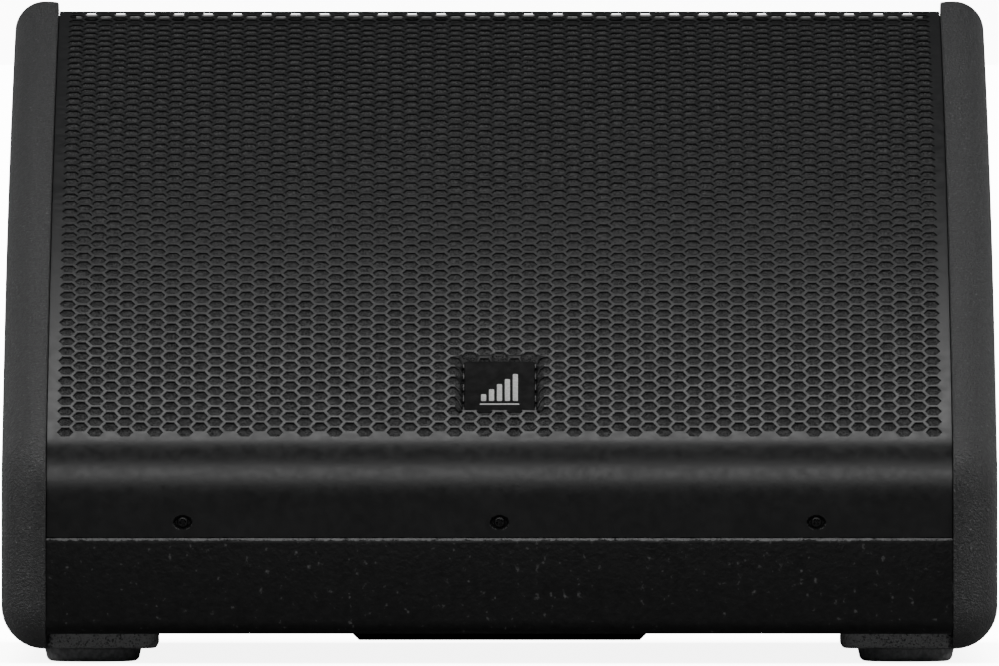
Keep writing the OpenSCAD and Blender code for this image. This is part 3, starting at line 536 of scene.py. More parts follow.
# -------- grille and foam
class Sheet:
    """A flat sheet of mesh with a front and a back, drawn in (x, s) before it is pressed and bent."""

    def __init__(self, thickness):
        self.bm = bmesh.new()
        self.thickness = thickness
        self.made = {}

    def vert(self, x, s, depth):
        key = (round(x * 1e6), round(s * 1e6), round(depth * 1e6))
        if key not in self.made:
            self.made[key] = self.bm.verts.new((x, s, -depth))
        return self.made[key]

    def face(self, corners):
        self.bm.faces.new([self.vert(*c) for c in corners])

    def plate(self, outline):
        """A stretch with no hole: its front face and its back face."""
        self.face([(x, s, 0) for x, s in outline])
        self.face([(x, s, self.thickness) for x, s in reversed(outline)])

    def close_edges(self):
        """Joins the front to the back along every open edge."""
        at = {v: k for k, v in self.made.items()}
        for edge in [e for e in self.bm.edges if len(e.link_loops) == 1]:
            loop = edge.link_loops[0]
            a, b = at[loop.vert], at[loop.link_loop_next.vert]
            if a[2] == 0 and b[2] == 0:
                back = round(self.thickness * 1e6)
                under = [self.made[(b[0], b[1], back)], self.made[(a[0], a[1], back)]]
                self.bm.faces.new([loop.link_loop_next.vert, loop.vert, under[1], under[0]])

    def cut(self, x0, x1, s0, s1):
        """Cuts the faces near a rectangle along its four sides."""
        for axis, value in ((0, x0), (0, x1), (1, s0), (1, s1)):
            near = [f for f in self.bm.faces
                    if x0 - 0.01 < f.calc_center_median().x < x1 + 0.01
                    and s0 - 0.01 < f.calc_center_median().y < s1 + 0.01]
            geometry = set(near) | {e for f in near for e in f.edges} | {v for f in near for v in f.verts}
            normal = Vector((axis == 0, axis == 1, 0))
            bmesh.ops.bisect_plane(self.bm, geom=list(geometry), plane_co=normal * value, plane_no=normal)

    def bent(self, name, material, lift=0.0):
        """Presses and bends the sheet into a piece, lift below the grille's outer face."""
        mesh = bpy.data.meshes.new(name)
        self.bm.to_mesh(mesh)
        self.bm.free()
        co = np.zeros(len(mesh.vertices) * 3)
        mesh.vertices.foreach_get("co", co)
        x, s, d = co.reshape(-1, 3).T
        mesh.vertices.foreach_set("co", on_grille(x, s, pressed(x, s) + lift - d).ravel())
        return finish_piece(name, mesh, material)


def hexagon(x, s, apothem):
    """Corners of a regular hexagon, anticlockwise from the right."""
    turns = [math.radians(60 * k) for k in range(6)]
    return [(x + apothem * HEX * math.cos(t), s + apothem * HEX * math.sin(t)) for t in turns]


def half_hexagon(x, s, apothem):
    """Corners of the lower half of a hexagon, which the sheet's rear edge cuts off."""
    below = CELL_APOTHEM - apothem
    top_x = apothem * HEX - below / math.sqrt(3)
    low_x = apothem * HEX / 2
    return [(x - low_x, s - apothem), (x + low_x, s - apothem), (x + top_x, s - below),
            (x - top_x, s - below)]


def cell(sheet, outline, x, s):
    """The web round one hole: its front, its chamfered wall and its back."""
    levels = [(CELL_APOTHEM, 0), (HOLE_APOTHEM + CHAMFER, 0), (HOLE_APOTHEM, CHAMFER),
              (HOLE_APOTHEM, SHEET_T), (CELL_APOTHEM, SHEET_T)]
    rings = [[(px, ps * ROW_STRETCH, depth) for px, ps in outline(x, s, r)] for r, depth in levels]
    for ring, inner in zip(rings, rings[1:]):
        for k in range(len(ring)):
            n = (k + 1) % len(ring)
            sheet.face([ring[k], ring[n], inner[n], inner[k]])


def hole_column(sheet, i):
    """One column of holes. Returns its middle and where its lowest and highest cells end."""
    x = (i - (COLUMNS - 1) / 2) * 1.5 * CELL_APOTHEM * HEX
    low = HOLE_APOTHEM + (CELL_APOTHEM if i % 2 else 0)
    end = HOLE_APOTHEM + 2 * CELL_APOTHEM * ROWS
    for j in range(ROWS):
        cell(sheet, hexagon, x, low + 2 * CELL_APOTHEM * j)
    if i % 2 == 0:
        cell(sheet, half_hexagon, x, end)
    return x, (low - CELL_APOTHEM) * ROW_STRETCH, end * ROW_STRETCH


def side_margin(sheet, x, low, high, side):
    """Bare strip between the outermost column of holes and the sheet's side edge."""
    rows = np.linspace(low, high, 2 * ROWS + 2)
    inner = [(x + side * CELL_APOTHEM * HEX * (1 if k % 2 else 0.5), s) for k, s in enumerate(rows)]
    edge = side * GRILLE_HALF_W
    for (xa, sa), (xb, sb) in zip(inner, inner[1:]):
        outline = [(xa, sa), (edge, sa), (edge, sb), (xb, sb)]
        sheet.plate(outline if side > 0 else outline[::-1])


def end_margin(sheet, corners, s_end):
    """Bare strip between the columns' outermost corners and a straight line across the sheet."""
    points = [(-GRILLE_HALF_W, corners[0][1]), *corners, (GRILLE_HALF_W, corners[-1][1])]
    for (xa, sa), (xb, sb) in zip(points, points[1:]):
        if xb - xa < 1e-6:
            continue
        between = [c for c in LINE_X if xa + 1e-6 < c < xb - 1e-6] if s_end < sa else []
        line = [(c, s_end) for c in [xa, *between, xb]]
        outline = line + [(xb, sb), (xa, sa)]
        sheet.plate(outline if s_end < sa else outline[::-1])


# Spacing of the fine mesh round the screws' recesses, and where it runs across the sheet
FINE = 0.0007
LINE_X = [x + FINE * k for x in SCREW_X for k in range(-10, 11)]


def skirt(sheet, corners, start):
    """Bare stretch over the nose and down the skirt, finer round the screws."""
    across = sorted({-GRILLE_HALF_W, GRILLE_HALF_W, *LINE_X, *(x for x, _ in corners)})
    screw_s = SCREW_Z - BEND_Z - BEND_L
    rows = list(np.linspace(start, -BEND_L, 18)) + [screw_s - FINE * k for k in range(-9, 10)]
    rows.append(-BEND_L - SKIRT_L)
    for sa, sb in zip(rows, rows[1:]):
        for xa, xb in zip(across, across[1:]):
            sheet.plate([(xa, sb), (xb, sb), (xb, sa), (xa, sa)])


def grille():
    """Perforated sheet with its margins, nose and skirt, pressed and bent."""
    sheet = Sheet(SHEET_T)
    columns = [hole_column(sheet, i) for i in range(COLUMNS)]
    for side, (x, low, high) in ((-1, columns[0]), (1, columns[-1])):
        side_margin(sheet, x, low, high, side)
    nose_top = -0.003
    half = CELL_APOTHEM * HEX / 2
    lows = [(x + side * half, low) for x, low, _ in columns for side in (-1, 1)]
    highs = [(x + side * (half if i % 2 else 2 * half), high)
             for i, (x, _, high) in enumerate(columns) for side in (-1, 1)]
    end_margin(sheet, lows, nose_top)
    end_margin(sheet, highs, GRILLE_L)
    skirt(sheet, lows, nose_top)
    sheet.close_edges()
    for inset in (0, POCKET_WALL):
        w, h = POCKET_HALF[0] - inset, POCKET_HALF[1] - inset
        sheet.cut(-w, w, POCKET_S - h, POCKET_S + h)
    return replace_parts(sheet.bent("perforated_grille", "grille_steel"), "grille")


def foam():
    """Foam sheet that lies under the grille and dips behind the badge's pocket."""
    rng = np.random.default_rng(3)
    step, gap, unevenness, thinnest = 0.0025, 0.0001, 0.0003, 0.001
    along = np.linspace(0, GRILLE_L)
    end = np.interp(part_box("grille_foam")[1].y + HALF_D, grille_profile(along)[0], along)
    half_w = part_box("grille_foam")[1].x
    xs = np.linspace(-half_w, half_w, int(2 * half_w / step))
    ss = np.linspace(0.001, end, int(end / step))
    x, s = (a.ravel() for a in np.meshgrid(xs, ss))
    top = SHEET_T + gap + pressed(x, s) + rng.uniform(0, unevenness, len(x))
    low = np.full(len(x), SHEET_T + FOAM_T - 0.0002)
    points = np.vstack([on_grille(x, s, np.minimum(top, low - thinnest)), on_grille(x, s, low)])
    faces = slab_faces(len(xs), len(ss))
    piece = new_piece("foam_sheet", points, faces, "grille_foam", sharp=60)
    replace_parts(piece, "grille_foam")
    return piece


def edge_felt():
    """Felt strip under the grille's rear edge, which keeps it from buzzing on the rear panel."""
    s0, s1 = GRILLE_L - 0.0075, GRILLE_L - 0.0015
    d0, d1 = SHEET_T + 0.0001, SHEET_T + 0.0018
    half_w = GRILLE_HALF_W - 0.010
    ease_s, ease_d = 0.0004, 0.0003
    profile = [(s0, d1), (s1, d1), (s1, d0 + ease_d), (s1 - ease_s, d0), (s0 + ease_s, d0),
               (s0, d0 + ease_d)]
    rings = [[tuple(on_grille(np.array([x]), s, d)[0]) for s, d in profile]
             for x in np.linspace(-half_w, half_w, 41)]
    piece = new_piece("grille_edge_felt", *loft(rings), "felt_grey")
    return piece


# -------- cheeks and feet
TOP_CORNER_R = 0.020
FRONT_CORNER_R = 0.026
REAR_CORNER_R = 0.030
RIM_R = (0.018, 0.025)
RIM_Z = (0.10, 0.25)


def cheek_outline():
    """Points of a cheek's side view with the direction of travel at each, all the way round."""
    rear_u = 2 * HALF_D
    top = TOP + CHEEK_LIP * outward(SLOPE_TOP)
    runs = [((SKIRT_U, BEND_Z), BEND_R, UPRIGHT, SLOPE_LOW, 14, CHEEK_LIP),
            (NOSE, LOWER_R, SLOPE_LOW, SLOPE_MID, 16, CHEEK_LIP),
            (MIDDLE, UPPER_R, SLOPE_MID, SLOPE_TOP, 16, CHEEK_LIP),
            (top, TOP_CORNER_R, SLOPE_TOP, -UPRIGHT, 14, 0),
            ((rear_u, FOOT_H + REAR_CORNER_R), REAR_CORNER_R, -UPRIGHT, -2 * UPRIGHT, 10, 0),
            ((FRONT_CORNER_R, FOOT_H), FRONT_CORNER_R, -2 * UPRIGHT, -3 * UPRIGHT, 10, 0)]
    found = []
    for start, r, a0, a1, steps, lift in runs:
        joined = found and abs(found[-1][1] - a0) < 1e-6 and r not in (REAR_CORNER_R, FRONT_CORNER_R)
        for k in range(1 if joined else 0, steps + 1):
            a = a0 + (a1 - a0) * k / steps
            found.append((turned(start, r, a0, a) + lift * outward(a), a))
    return found


def cheek_ring(outline, side, across):
    """One ring of the cheek's loft. across goes from 0 at the inner edge, through 1 where the
    rim starts, to 2 at the outer face."""
    ring = []
    crown, edge, edge_reach = 0.0007, 0.0008, 0.12
    for p, a in outline:
        r = np.interp(p[1], RIM_Z, RIM_R[::-1])
        flat = HALF_W - CAB_W / 2 - r
        if across < 1:
            x = CAB_W / 2 + flat * across
            inset = crown * (1 - across) ** 2 + edge * max(0, 1 - across / edge_reach) ** 2
        else:
            t = UPRIGHT * (across - 1)
            x = HALF_W - r * (1 - math.sin(t))
            inset = r * (1 - math.cos(t))
        u, z = p - inset * outward(a)
        ring.append((side * x, u - HALF_D, z))
    return ring if side > 0 else ring[::-1]


def pad_solid(side, foot):
    """A foot pad: a rounded tongue that turns in under the cabinet."""
    middle_y = (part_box(foot)[0].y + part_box(foot)[1].y) / 2
    length, reach, overlap, corner, edge = 0.076, 0.0645, 0.006, 0.010, 0.003
    inner_x, outer_x = CAB_W / 2 - reach, CAB_W / 2 + overlap
    outline = rounded_rectangle(outer_x - inner_x, length, corner, 6)
    place = Matrix.Translation((side * (outer_x + inner_x) / 2, middle_y, BASE_Z)) @ Matrix.Rotation(
        math.pi, 4, "Y")
    return pillow(outline, 0.0002, BASE_Z - FOOT_H, edge, place, 5)


def united(piece, others):
    """Joins closed solids into the piece's own mesh."""
    for points, faces in others:
        mesh = bpy.data.meshes.new("tool")
        mesh.from_pydata([tuple(p) for p in points], [], faces)
        outward_faces(mesh)
        tool = bpy.data.objects.new("tool", mesh)
        bpy.context.scene.collection.objects.link(tool)
        union = piece.modifiers.new("union", "BOOLEAN")
        union.operation, union.solver, union.object = "UNION", "EXACT", tool
        applied = bpy.data.meshes.new_from_object(
            piece.evaluated_get(bpy.context.evaluated_depsgraph_get()))
        piece.modifiers.clear()
        piece.data = applied
        bpy.data.objects.remove(tool)
    return piece


def cheek(side, name, feet):
    """Moulded end cheek, slightly crowned, with a rounded rim and its foot pads."""
    outline = cheek_outline()
    rim_steps = 9
    stops = [0, 0.04, 0.08, 0.12, 0.3, 0.6, 1] + [1 + k / rim_steps for k in range(1, rim_steps + 1)]
    points, faces = loft([cheek_ring(outline, side, t) for t in stops])
    piece = new_piece(name + "_moulding", points, faces, "cheek_moulding")
    united(piece, [pad_solid(side, foot) for foot in feet])
    piece.data.polygons.foreach_set("use_smooth", [True] * len(piece.data.polygons))
    piece.data.set_sharp_from_angle(angle=math.radians(35))
    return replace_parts(piece, name)


def foot(node):
    """Rubber foot with a tapered side, a rounded tread edge, tread rings and a screw recess."""
    low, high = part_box(node)
    r, h = (high.x - low.x) / 2, high.z - low.z
    recess, recess_depth, hole, edge = 0.0065, 0.0045, 0.0026, 0.004
    groove_r, groove_pitch, groove_half, groove_depth = 0.0195, 0.004, 0.0009, 0.0006
    tread = [(r - edge - 0.001, 0)]
    for k in range(3):
        middle = groove_r - groove_pitch * k
        tread += [(middle + groove_half, 0), (middle + groove_depth, groove_depth),
                  (middle - groove_depth, groove_depth), (middle - groove_half, 0)]
    profile = ([(hole, h), (r - 0.0008, h), (r, h - 0.0007)]
               + arc((r - 0.0008 - edge, edge), edge, 0, -90, 6)
               + tread + [(recess + 0.0006, 0), (recess, 0.0006), (recess, recess_depth),
                          (hole, recess_depth)])
    place = Matrix.Translation(((low.x + high.x) / 2, (low.y + high.y) / 2, low.z))
    points, faces = lathe(profile, place, 96)
    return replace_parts(new_piece(node + "_rubber", points, faces, "foot_rubber", sharp=50), node)


# -------- cabinet front
def extruded(name, outline, half_w, material, end_edge=0.0006):
    """A side-profile outline (u, z) pulled across the width, with its two ends eased."""
    centre = np.mean(outline, axis=0)
    pull = (np.array(outline) - centre) / np.linalg.norm(np.array(outline) - centre, axis=1)[:, None]
    eased = np.array(outline) - pull * end_edge
    rings = []
    for x, ring in ((-half_w, eased), (-half_w + end_edge, outline), (half_w - end_edge, outline),
                    (half_w, eased)):
        rings.append([(x, u - HALF_D, z) for u, z in ring])
    points, faces = loft(rings)
    return new_piece(name, points, faces, material)


def kick_panel():
    """Front panel below the skirt, with rounded upper and lower edges."""
    low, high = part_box("kick_panel")
    front, back = low.y + HALF_D, high.y + HALF_D
    clearance, gap, lower_r, upper_r = 0.0008, 0.0005, 0.008, 0.0028
    shelf_u, shelf_z = SKIRT_U + SHEET_T + RECESS_DEPTH + clearance, SKIRT_Z - gap
    outline = ([(back, low.z)] + arc((front + lower_r, low.z + lower_r), lower_r, 270, 180, 12)
               + arc((front + upper_r, shelf_z - upper_r), upper_r, 180, 90, 6)
               + [(shelf_u, shelf_z), (shelf_u, BEND_Z + 0.003), (back, high.z)])
    piece = extruded("kick_board", outline, high.x, "cabinet_paint")
    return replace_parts(piece, "kick_panel")


def screw_solid(place, head_r, head_h, recess=0.42):
    """Pan head with a cross-shaped drive recess, on z = 0."""
    steps, points, faces = 48, [], []
    rows = [(head_r, 0.0), (head_r, head_h * 0.35), (head_r * 0.93, head_h * 0.68),
            (head_r * 0.78, head_h * 0.92), (head_r * 0.62, head_h), (head_r * 0.40, head_h * 1.03),
            (head_r * 0.30, head_h * 1.03), (head_r * 0.15, head_h * 1.03), (0.0, head_h * 1.03)]
    for r, z in rows[:-1]:
        for i in range(steps):
            t = 2 * math.pi * i / steps
            x, y = r * math.cos(t), r * math.sin(t)
            arm = min(abs(x), abs(y)) < head_r * 0.16 and max(abs(x), abs(y)) < head_r * 0.56
            points.append(place @ Vector((x, y, z - (head_h * recess * 1.6 if arm else 0))))
    points.append(place @ Vector((0, 0, head_h * (1.03 - recess * 1.6))))
    last = len(points) - 1
    for k in range(len(rows) - 2):
        a, b = k * steps, (k + 1) * steps
        faces += [(a + i, a + (i + 1) % steps, b + (i + 1) % steps, b + i) for i in range(steps)]
    a = (len(rows) - 2) * steps
    faces += [(a + i, a + (i + 1) % steps, last) for i in range(steps)]
    faces.append(tuple(reversed(range(steps))))
    return points, faces


def merged(solids):
    """Points and faces of several solids as one mesh."""
    points, faces = [], []
    for more_points, more_faces in solids:
        start = len(points)
        points += list(more_points)
        faces += [tuple(start + i for i in f) for f in more_faces]
    return points, faces


def facing(x, y, z, tilt=0.0):
    """Local frame whose z points to the front (-Y), x along the width and y up."""
    return Matrix.Translation((x, y, z)) @ Matrix.Rotation(math.pi / 2 + tilt, 4, "X")


def skirt_screws():
    """Pan heads of the three screws in the skirt, each turned a little differently."""
    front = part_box("grille_screws")[0].y
    head_r, head_h = 0.0033, 0.0018
    solids = []
    for x in SCREW_X:
        place = facing(x, front + head_h, SCREW_Z) @ Matrix.Rotation(0.5 + x, 4, "Z")
        solids.append(screw_solid(place, head_r, head_h))
    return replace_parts(new_piece("skirt_screw_heads", *merged(solids), "screw_black"), "grille_screws")


def badge():
    """Black plate with eased edges, and a generic row of rising level bars printed on it."""
    u, z, a = (float(v) for v in grille_profile(POCKET_S))
    lean = a + BADGE_LIFT
    middle = np.array([u, z]) - POCKET_DEPTH * outward(a)
    place = Matrix.Translation((0, middle[0] - HALF_D, middle[1])) @ Matrix.Rotation(lean, 4, "X")
    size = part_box("badge")[1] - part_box("badge")[0]
    w, h, t = size.x, 0.046, 0.0016
    plate = pillow(rounded_rectangle(w, h, 0.0016), 0.0001, t, 0.0005, place)
    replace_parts(new_piece("badge_plate", *plate, "badge_black"), "badge")
    bars, count, pitch, bar_w, base = [], 5, 0.0046, 0.0030, -0.0125
    for k in range(count):
        bar_h = 0.006 + 0.0045 * k
        at = place @ Matrix.Translation(((k - (count - 1) / 2) * pitch, base + bar_h / 2, t - 0.0001))
        bars.append(pillow(rounded_rectangle(bar_w, bar_h, 0.0007, 3), 0, 0.00022, 0.00008, at, 2))
    line = place @ Matrix.Translation((0, base - 0.0028, t - 0.0001))
    bars.append(pillow(rounded_rectangle(count * pitch, 0.0011, 0.0005, 3), 0, 0.00022, 0.00008, line, 2))
    return new_piece("badge_level_bars", *merged(bars), "badge_print")


# -------- rear panel's fittings
PLATE_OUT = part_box("amp_panel")[1].y
FLANGE_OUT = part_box("switch_frame")[1].y
BEHIND = Matrix.Rotation(math.pi, 4, "Z") @ Matrix.Rotation(math.pi / 2, 4, "X")


def behind(x, y, z):
    """Local frame on the rear: x to the right and y up as seen from behind, z outwards."""
    return Matrix.Translation((x, y, z)) @ BEHIND


def centre(node):
    low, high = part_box(node)
    return (low + high) / 2


def knob(node):
    """Fluted control knob with a raised white pointer."""
    low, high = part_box(node)
    middle = centre(node)
    r, top, start = (high.x - low.x) / 2, high.y - PLATE_OUT, 0.0012
    place = behind(middle.x, PLATE_OUT, middle.z)
    shaft_r, shaft_end = 0.003, low.y - PLATE_OUT
    profile = [(0.0, start), (r - 0.0004, start), (r, start + 0.0004), (r, start + 0.0022),
               (r - 0.0006, start + 0.0030, 0.6), (r - 0.0012, top - 0.0022, 1),
               (r - 0.0018, top - 0.0007, 0.8), (r - 0.0026, top), (r - 0.0034, top),
               (r - 0.0038, top - 0.0004), (0.0, top - 0.0004)]
    body = lathe(profile, place, 144, 18, 0.0007)
    shaft = lathe([(0.0, shaft_end), (shaft_r, shaft_end), (shaft_r, start + 0.0005), (0, start + 0.0005)],
                  place, 32)
    cap = new_piece(node + "_cap", *merged([body, shaft]), "knob_black", body=node, sharp=50)
    line = place @ Matrix.Translation((0, r * 0.52, top - 0.0005))
    mark = pillow(rounded_rectangle(0.0011, r * 0.62, 0.0004, 3), 0, 0.0004, 0.0001, line, 2)
    new_piece(node + "_pointer", *mark, "badge_print", body=node)
    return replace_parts(cap, node)


def panel_print():
    """Raised ink on the amplifier panel: dial ticks round the knobs and rules between groups."""
    solids = []
    ink = 0.0001

    def dash(x, z, w, h, turn=0.0):
        at = behind(x, PLATE_OUT, z) @ Matrix.Rotation(turn, 4, "Z")
        solids.append(pillow(rounded_rectangle(w, h, min(w, h) * 0.45, 3), 0, ink, ink * 0.4, at, 1))

    for node in ("level_knob_1", "level_knob_2"):
        middle = centre(node)
        for k in range(11):
            turn = math.radians(140 - 28 * k)
            reach = 0.0125 if k % 5 else 0.0131
            x, y = -reach * math.sin(turn), reach * math.cos(turn)
            dash(middle.x - x, middle.z + y, 0.0006, 0.0022 if k % 5 else 0.0036, turn)
    left, right = centre("input_socket_2"), centre("input_socket_1")
    for x in ((left.x + right.x) / 2, (centre("link_socket").x + left.x) / 2):
        dash(x, left.z - 0.024, 0.0005, 0.070)
    for node in ("level_knob_1", "level_knob_2"):
        dash(centre(node).x, (centre(node).z + left.z) / 2 + 0.0005, 0.010, 0.0005)
    return new_piece("amp_panel_marks", *merged(solids), "badge_print")


def tube_profile(r_out, r_in, z0, z1, edge=0.0002):
    """Profile for lathe() of a tube whose outer end, at z1, is eased."""
    return [(r_in, z0), (r_out, z0), (r_out, z1 - edge), (r_out - edge, z1), (r_in + edge, z1),
            (r_in, z1 - edge)]


def socket(node, female):
    """Panel socket: eased flange, contact sleeves or a metal shell ring, and two small screws."""
    softened(node, "moulded_black", 0.0005)
    middle = centre(node)
    place = behind(middle.x, FLANGE_OUT, middle.z)
    solids = []
    for sx, sy in ((-0.0095, 0.012), (0.0095, -0.012)):
        at = place @ Matrix.Translation((sx, sy, -0.0008)) @ Matrix.Rotation(0.6 + 9 * sx, 4, "Z")
        solids.append(screw_solid(at, 0.0024, 0.0014))
    new_piece(node + "_screws", *merged(solids), "screw_black")
    if not female:
        ring = lathe(tube_profile(0.0097, 0.0091, -0.0140, 0.0003), place, 64)
        return new_piece(node + "_shell", *ring, "contact_metal")
    sleeves = []
    for turn in (90, 210, 330):
        t = math.radians(turn)
        at = place @ Matrix.Translation((0.0042 * math.cos(t), 0.0042 * math.sin(t), 0))
        sleeves.append(lathe(tube_profile(0.0013, 0.0009, -0.0105, -0.0003, 0.0001), at, 32))
    return new_piece(node + "_contacts", *merged(sleeves), "contact_metal")


def latch(node):
    """Release tab with three grip ridges on its push face."""
    low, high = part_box(node)
    w, depth, h = high - low
    place = behind(centre(node).x, low.y, centre(node).z)
    solids = [pillow(rounded_rectangle(w, h, 0.0005, 3), 0, depth - 0.0004, 0.0004, place)]
    for k in (-1, 0, 1):
        at = place @ Matrix.Translation((0, k * 0.0009, depth - 0.00045))
        solids.append(pillow(rounded_rectangle(w * 0.8, 0.0004, 0.00018, 2), 0, 0.00045, 0.00015, at, 2))
    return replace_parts(new_piece(node + "_tab", *merged(solids), "contact_metal", body=node), node)


def panel_screws():
    """Pan-head screws round the amplifier panel."""
    low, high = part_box("amp_screws")
    inset = 0.0038
    xs = np.linspace(low.x + inset, high.x - inset, 4)
    z0, z1 = low.z + inset, high.z - inset
    places = [(x, z) for x in xs for z in (z0, z1)] + [(x, (z0 + z1) / 2) for x in (xs[0], xs[-1])]
    solids = []
    for k, (x, z) in enumerate(places):
        at = behind(x, PLATE_OUT, z) @ Matrix.Rotation(0.7 * k, 4, "Z")
        solids.append(screw_solid(at, inset, 0.0022))
        solids.append(lathe([(0, -0.012), (0.002, -0.012), (0.002, 0.0005), (0, 0.0005)], at, 16))
    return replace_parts(new_piece("amp_panel_screws", *merged(solids), "screw_black"), "amp_screws")


# -------- inside
def wadding():
    """Damping wadding: a loose batt that bulges between its edges."""
    low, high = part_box("damping_wadding")
    rng = np.random.default_rng(5)
    nx, ny = 60, 40
    xs, ys = np.linspace(low.x, high.x, nx), np.linspace(low.y, high.y, ny)
    points = []
    for layer in (1, 0):
        for j, y in enumerate(ys):
            for i, x in enumerate(xs):
                rim = min(i, nx - 1 - i, j, ny - 1 - j)
                puff = 1 - 0.75 * math.exp(-rim / 3) - 0.08 * rng.random()
                points.append((x, y, low.z + (high.z - low.z) * puff if layer else low.z))
    piece = new_piece("wadding_batt", points, slab_faces(nx, ny), "wadding", sharp=80)
    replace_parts(piece, "damping_wadding")
    return piece


CONE = next(j for j in frame["joints"] if j["name"] == "cone_travel")
AXIS = Vector(CONE["axis"]).normalized()
DRIVER = Matrix.Translation(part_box("surround")[0].lerp(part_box("surround")[1], 0.5)) @ Matrix.Rotation(
    -math.asin(AXIS.y), 4, "X")


def sectors(node, material, profile, offset, count=12):
    """A ring that bends between the frame and the cone, cut into sectors that ride on no body."""
    steps = 6
    for k in range(count):
        rings = []
        for i in range(steps + 1):
            t = 2 * math.pi * (k + i / steps) / count
            rings.append([DRIVER @ Vector((r * math.cos(t), r * math.sin(t), z + offset))
                          for r, z in profile])
        mesh = bpy.data.meshes.new(node)
        points, faces = loft(rings)
        mesh.from_pydata([tuple(p) for p in points], [], faces)
        piece = finish_piece(f"{node}_sector_{k + 1}", mesh, material)
        # A bending piece rides on no single body
        piece.parent = None
        del piece["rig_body"]
        t = 2 * math.pi * (k + 0.5) / count
        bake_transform(piece)
        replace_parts(piece, node)


def suspension():
    """Half-roll surround and corrugated spider."""
    roll_r, roll_t, middle_r, frame_r, cone_r = 0.007, 0.0008, 0.130, 0.142, 0.118
    outer = [(frame_r, 0), (frame_r, roll_t), (middle_r + roll_r + roll_t, roll_t)]
    roll = arc((middle_r, 0), roll_r + roll_t, 10, 170, 14)
    inner = [(middle_r - roll_r - roll_t, roll_t), (cone_r, roll_t), (cone_r, 0), (middle_r - roll_r, 0)]
    under = arc((middle_r, 0), roll_r, 170, 10, 14)
    half = (roll_r + roll_t) / 2
    sectors("surround", "moulded_black", outer + roll + inner + under + [(middle_r + roll_r, 0)], -half)
    outer_r, inner_r, wave_h, half_t = 0.1025, 0.0385, 0.0009, 0.0003
    crest = [(r, wave_h * math.sin(i * math.pi / 3))
             for i, r in enumerate(np.linspace(outer_r, inner_r, 49))]
    profile = [(r, z + half_t) for r, z in crest] + [(r, z - half_t) for r, z in reversed(crest)]
    drop = (centre("spider") - centre("surround")).dot(AXIS)
    sectors("spider", "spider_cloth", profile, drop)


# -------- carried-over CAD nodes
def carry_over():
    """Gives every CAD node that still shows the material of its slot."""
    slots = {part["node"]: part["material_slot"] for part in frame["record"]["subparts"]}
    for name, piece in nodes.items():
        piece.data.materials.clear()
        piece.data.materials.append(MATERIALS[slots[name]])


# -------- stage, lights and camera
WHITE = 14.0  # strength that looks like white paper to the camera


def white_for_camera(tree, plain, background):
    """Mixes a shader that only the camera sees with the one that lights and reflects."""
    path = tree.nodes.new("ShaderNodeLightPath")
    mix = tree.nodes.new("ShaderNodeMixShader")
    tree.links.new(path.outputs["Is Camera Ray"], mix.inputs[0])
    tree.links.new(plain.outputs[0], mix.inputs[1])
    tree.links.new(background.outputs[0], mix.inputs[2])
    return mix


def world():
    """Faint fill from all round, which the camera sees as plain white."""
    made = bpy.data.worlds.new("studio")
    bpy.context.scene.world = made
    made.use_nodes = True
    tree = made.node_tree
    tree.nodes.clear()
    plain = tree.nodes.new("ShaderNodeBackground")
    plain.inputs["Color"].default_value = (0.9, 0.95, 1.0, 1)
    plain.inputs["Strength"].default_value = 0.06
    white = tree.nodes.new("ShaderNodeBackground")
    white.inputs["Strength"].default_value = WHITE
    out = tree.nodes.new("ShaderNodeOutputWorld")
    tree.links.new(white_for_camera(tree, plain, white).outputs[0], out.inputs["Surface"])


def floor():
    """Pale floor that the camera sees as plain white, with a painted soft shadow where something stands on
    it.
    """
    size = 80
    albedo = 0.32
    mesh = bpy.data.meshes.new("floor")
    mesh.from_pydata([(-size, -size, 0), (size, -size, 0), (size, size, 0), (-size, size, 0)], [],
                     [(0, 1, 2, 3)])
    piece = bpy.data.objects.new("floor", mesh)
    bpy.context.scene.collection.objects.link(piece)
    material = bpy.data.materials.new("floor")
    material.use_nodes = True
    tree = material.node_tree
    matt = tree.nodes["Principled BSDF"]
    matt.inputs["Base Color"].default_value = (albedo, albedo, albedo, 1)
    matt.inputs["Roughness"].default_value = 0.8
    # To the camera the floor is an emission that ambient occlusion dims: a painted shadow round and under
    # the object.
    near = tree.nodes.new("ShaderNodeAmbientOcclusion")
    near.inputs["Distance"].default_value = 0.15
    near.samples = 8
    shade = tree.nodes.new("ShaderNodeMapRange")
    shade.inputs["From Min"].default_value = 0.1
    shade.inputs["From Max"].default_value = 1.0
    shade.inputs["To Min"].default_value = 6.0
    shade.inputs["To Max"].default_value = WHITE
    glow = tree.nodes.new("ShaderNodeEmission")
    tree.links.new(near.outputs["AO"], shade.inputs["Value"])
    tree.links.new(shade.outputs[0], glow.inputs["Strength"])
    mix = white_for_camera(tree, matt, glow)
    tree.links.new(mix.outputs[0], tree.nodes["Material Output"].inputs["Surface"])
    mesh.materials.append(material)


def softbox(name, place, target, width, height, power, spread=150):
    """Soft rectangular lamp that the camera doesn't see."""
    light = bpy.data.lights.new(name, "AREA")
    light.shape = "RECTANGLE"
    light.size, light.size_y = width, height
    light.energy = power
    light.spread = math.radians(spread)
    lamp = bpy.data.objects.new(name, light)
    lamp.location = place
    lamp.rotation_mode = "QUATERNION"
    lamp.rotation_quaternion = (Vector(target) - Vector(place)).to_track_quat("-Z", "Y")
    lamp.visible_camera = False
    bpy.context.scene.collection.objects.link(lamp)


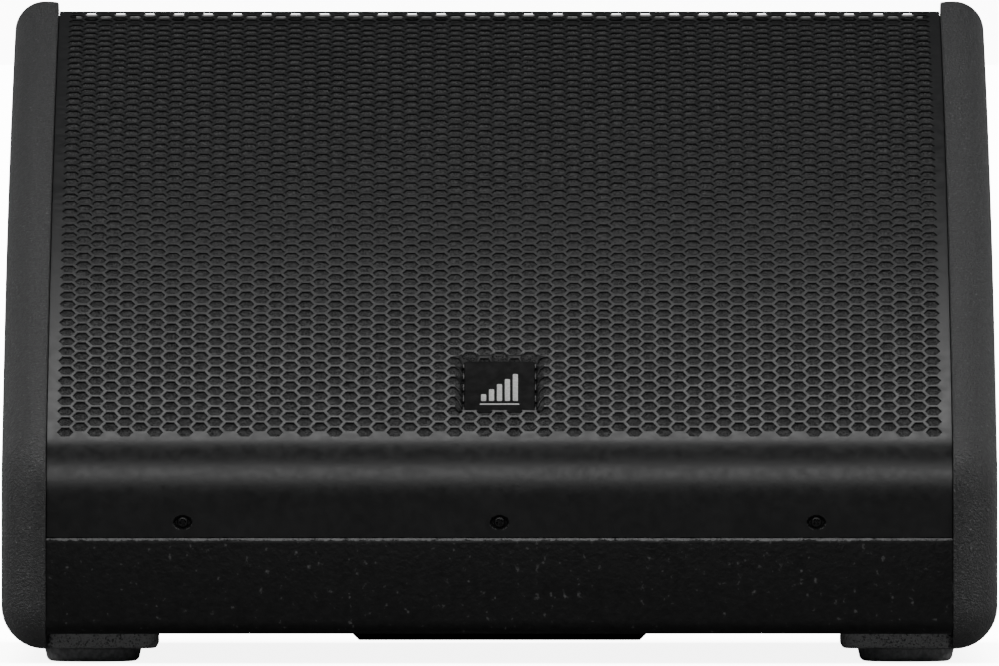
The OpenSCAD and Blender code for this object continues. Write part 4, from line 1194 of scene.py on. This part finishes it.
def lights():
    """Softboxes above, in front and on both sides, weak ones behind, and a reflector on the floor
    that lights the rear panel."""
    middle = (0, 0, 0.2)
    softbox("overhead", (0, 0.34, 2.3), (0, -0.1, 0.1), 2.2, 0.7, 13)
    softbox("front", (0, -2.0, 1.5), middle, 2.6, 0.8, 14)
    for side in (-1, 1):
        softbox("side", (side * 3.0, 0.1, 1.5), middle, 1.4, 1.0, 13)
        softbox("rear", (side * 2.2, 2.5, 0.9), (0, 0.2, 0.15), 1.2, 1.0, 2)
    softbox("floor_reflector", (0, 1.3, 0.03), (0, 1.3, 1), 3.0, 1.6, 24, spread=180)


LENS = 1100
FRONT_DISTANCE = 17.62
IMAGE_MIDDLE_Z = 0.191
PITCH = math.radians(0.75)


def camera():
    """Long lens, straight on and slightly above."""
    data = bpy.data.cameras.new("camera")
    data.sensor_width = 36
    data.lens = LENS
    data.clip_start, data.clip_end = 1, 100
    made = bpy.data.objects.new("camera", data)
    made.location = (0, -HALF_D - FRONT_DISTANCE, IMAGE_MIDDLE_Z + FRONT_DISTANCE * math.tan(PITCH))
    made.rotation_euler = (UPRIGHT - PITCH, 0, 0)
    bpy.context.scene.collection.objects.link(made)
    bpy.context.scene.camera = made


# -------- the whole
carry_over()
grille()
foam()
edge_felt()
cheek(-1, "left_cheek", ["front_left_foot", "rear_left_foot"])
cheek(1, "right_cheek", ["front_right_foot", "rear_right_foot"])
for name in ("front_left_foot", "front_right_foot", "rear_left_foot", "rear_right_foot"):
    foot(name)
kick_panel()
skirt_screws()
badge()
for name, material, edge in (
        ("rear_panel", "cabinet_paint", 0.0008), ("bottom_panel", "cabinet_paint", 0.0008),
        ("handle_cup", "moulded_black", 0.0012), ("amp_panel", "amp_plate", 0.0004),
        ("heat_sink", "heat_sink_black", 0.0005), ("mains_inlet", "moulded_black", 0.0005),
        ("fuse_drawer", "moulded_black", 0.0004), ("switch_frame", "moulded_black", 0.0005),
        ("power_rocker", "knob_black", 0.0005)):
    softened(name, material, edge, name if name in ("fuse_drawer", "power_rocker") else ROOT)
socket("input_socket_1", female=True)
socket("input_socket_2", female=True)
socket("link_socket", female=False)
latch("latch_tab_1")
latch("latch_tab_2")
knob("level_knob_1")
knob("level_knob_2")
panel_print()
panel_screws()
wadding()
suspension()
world()
floor()
lights()
camera()
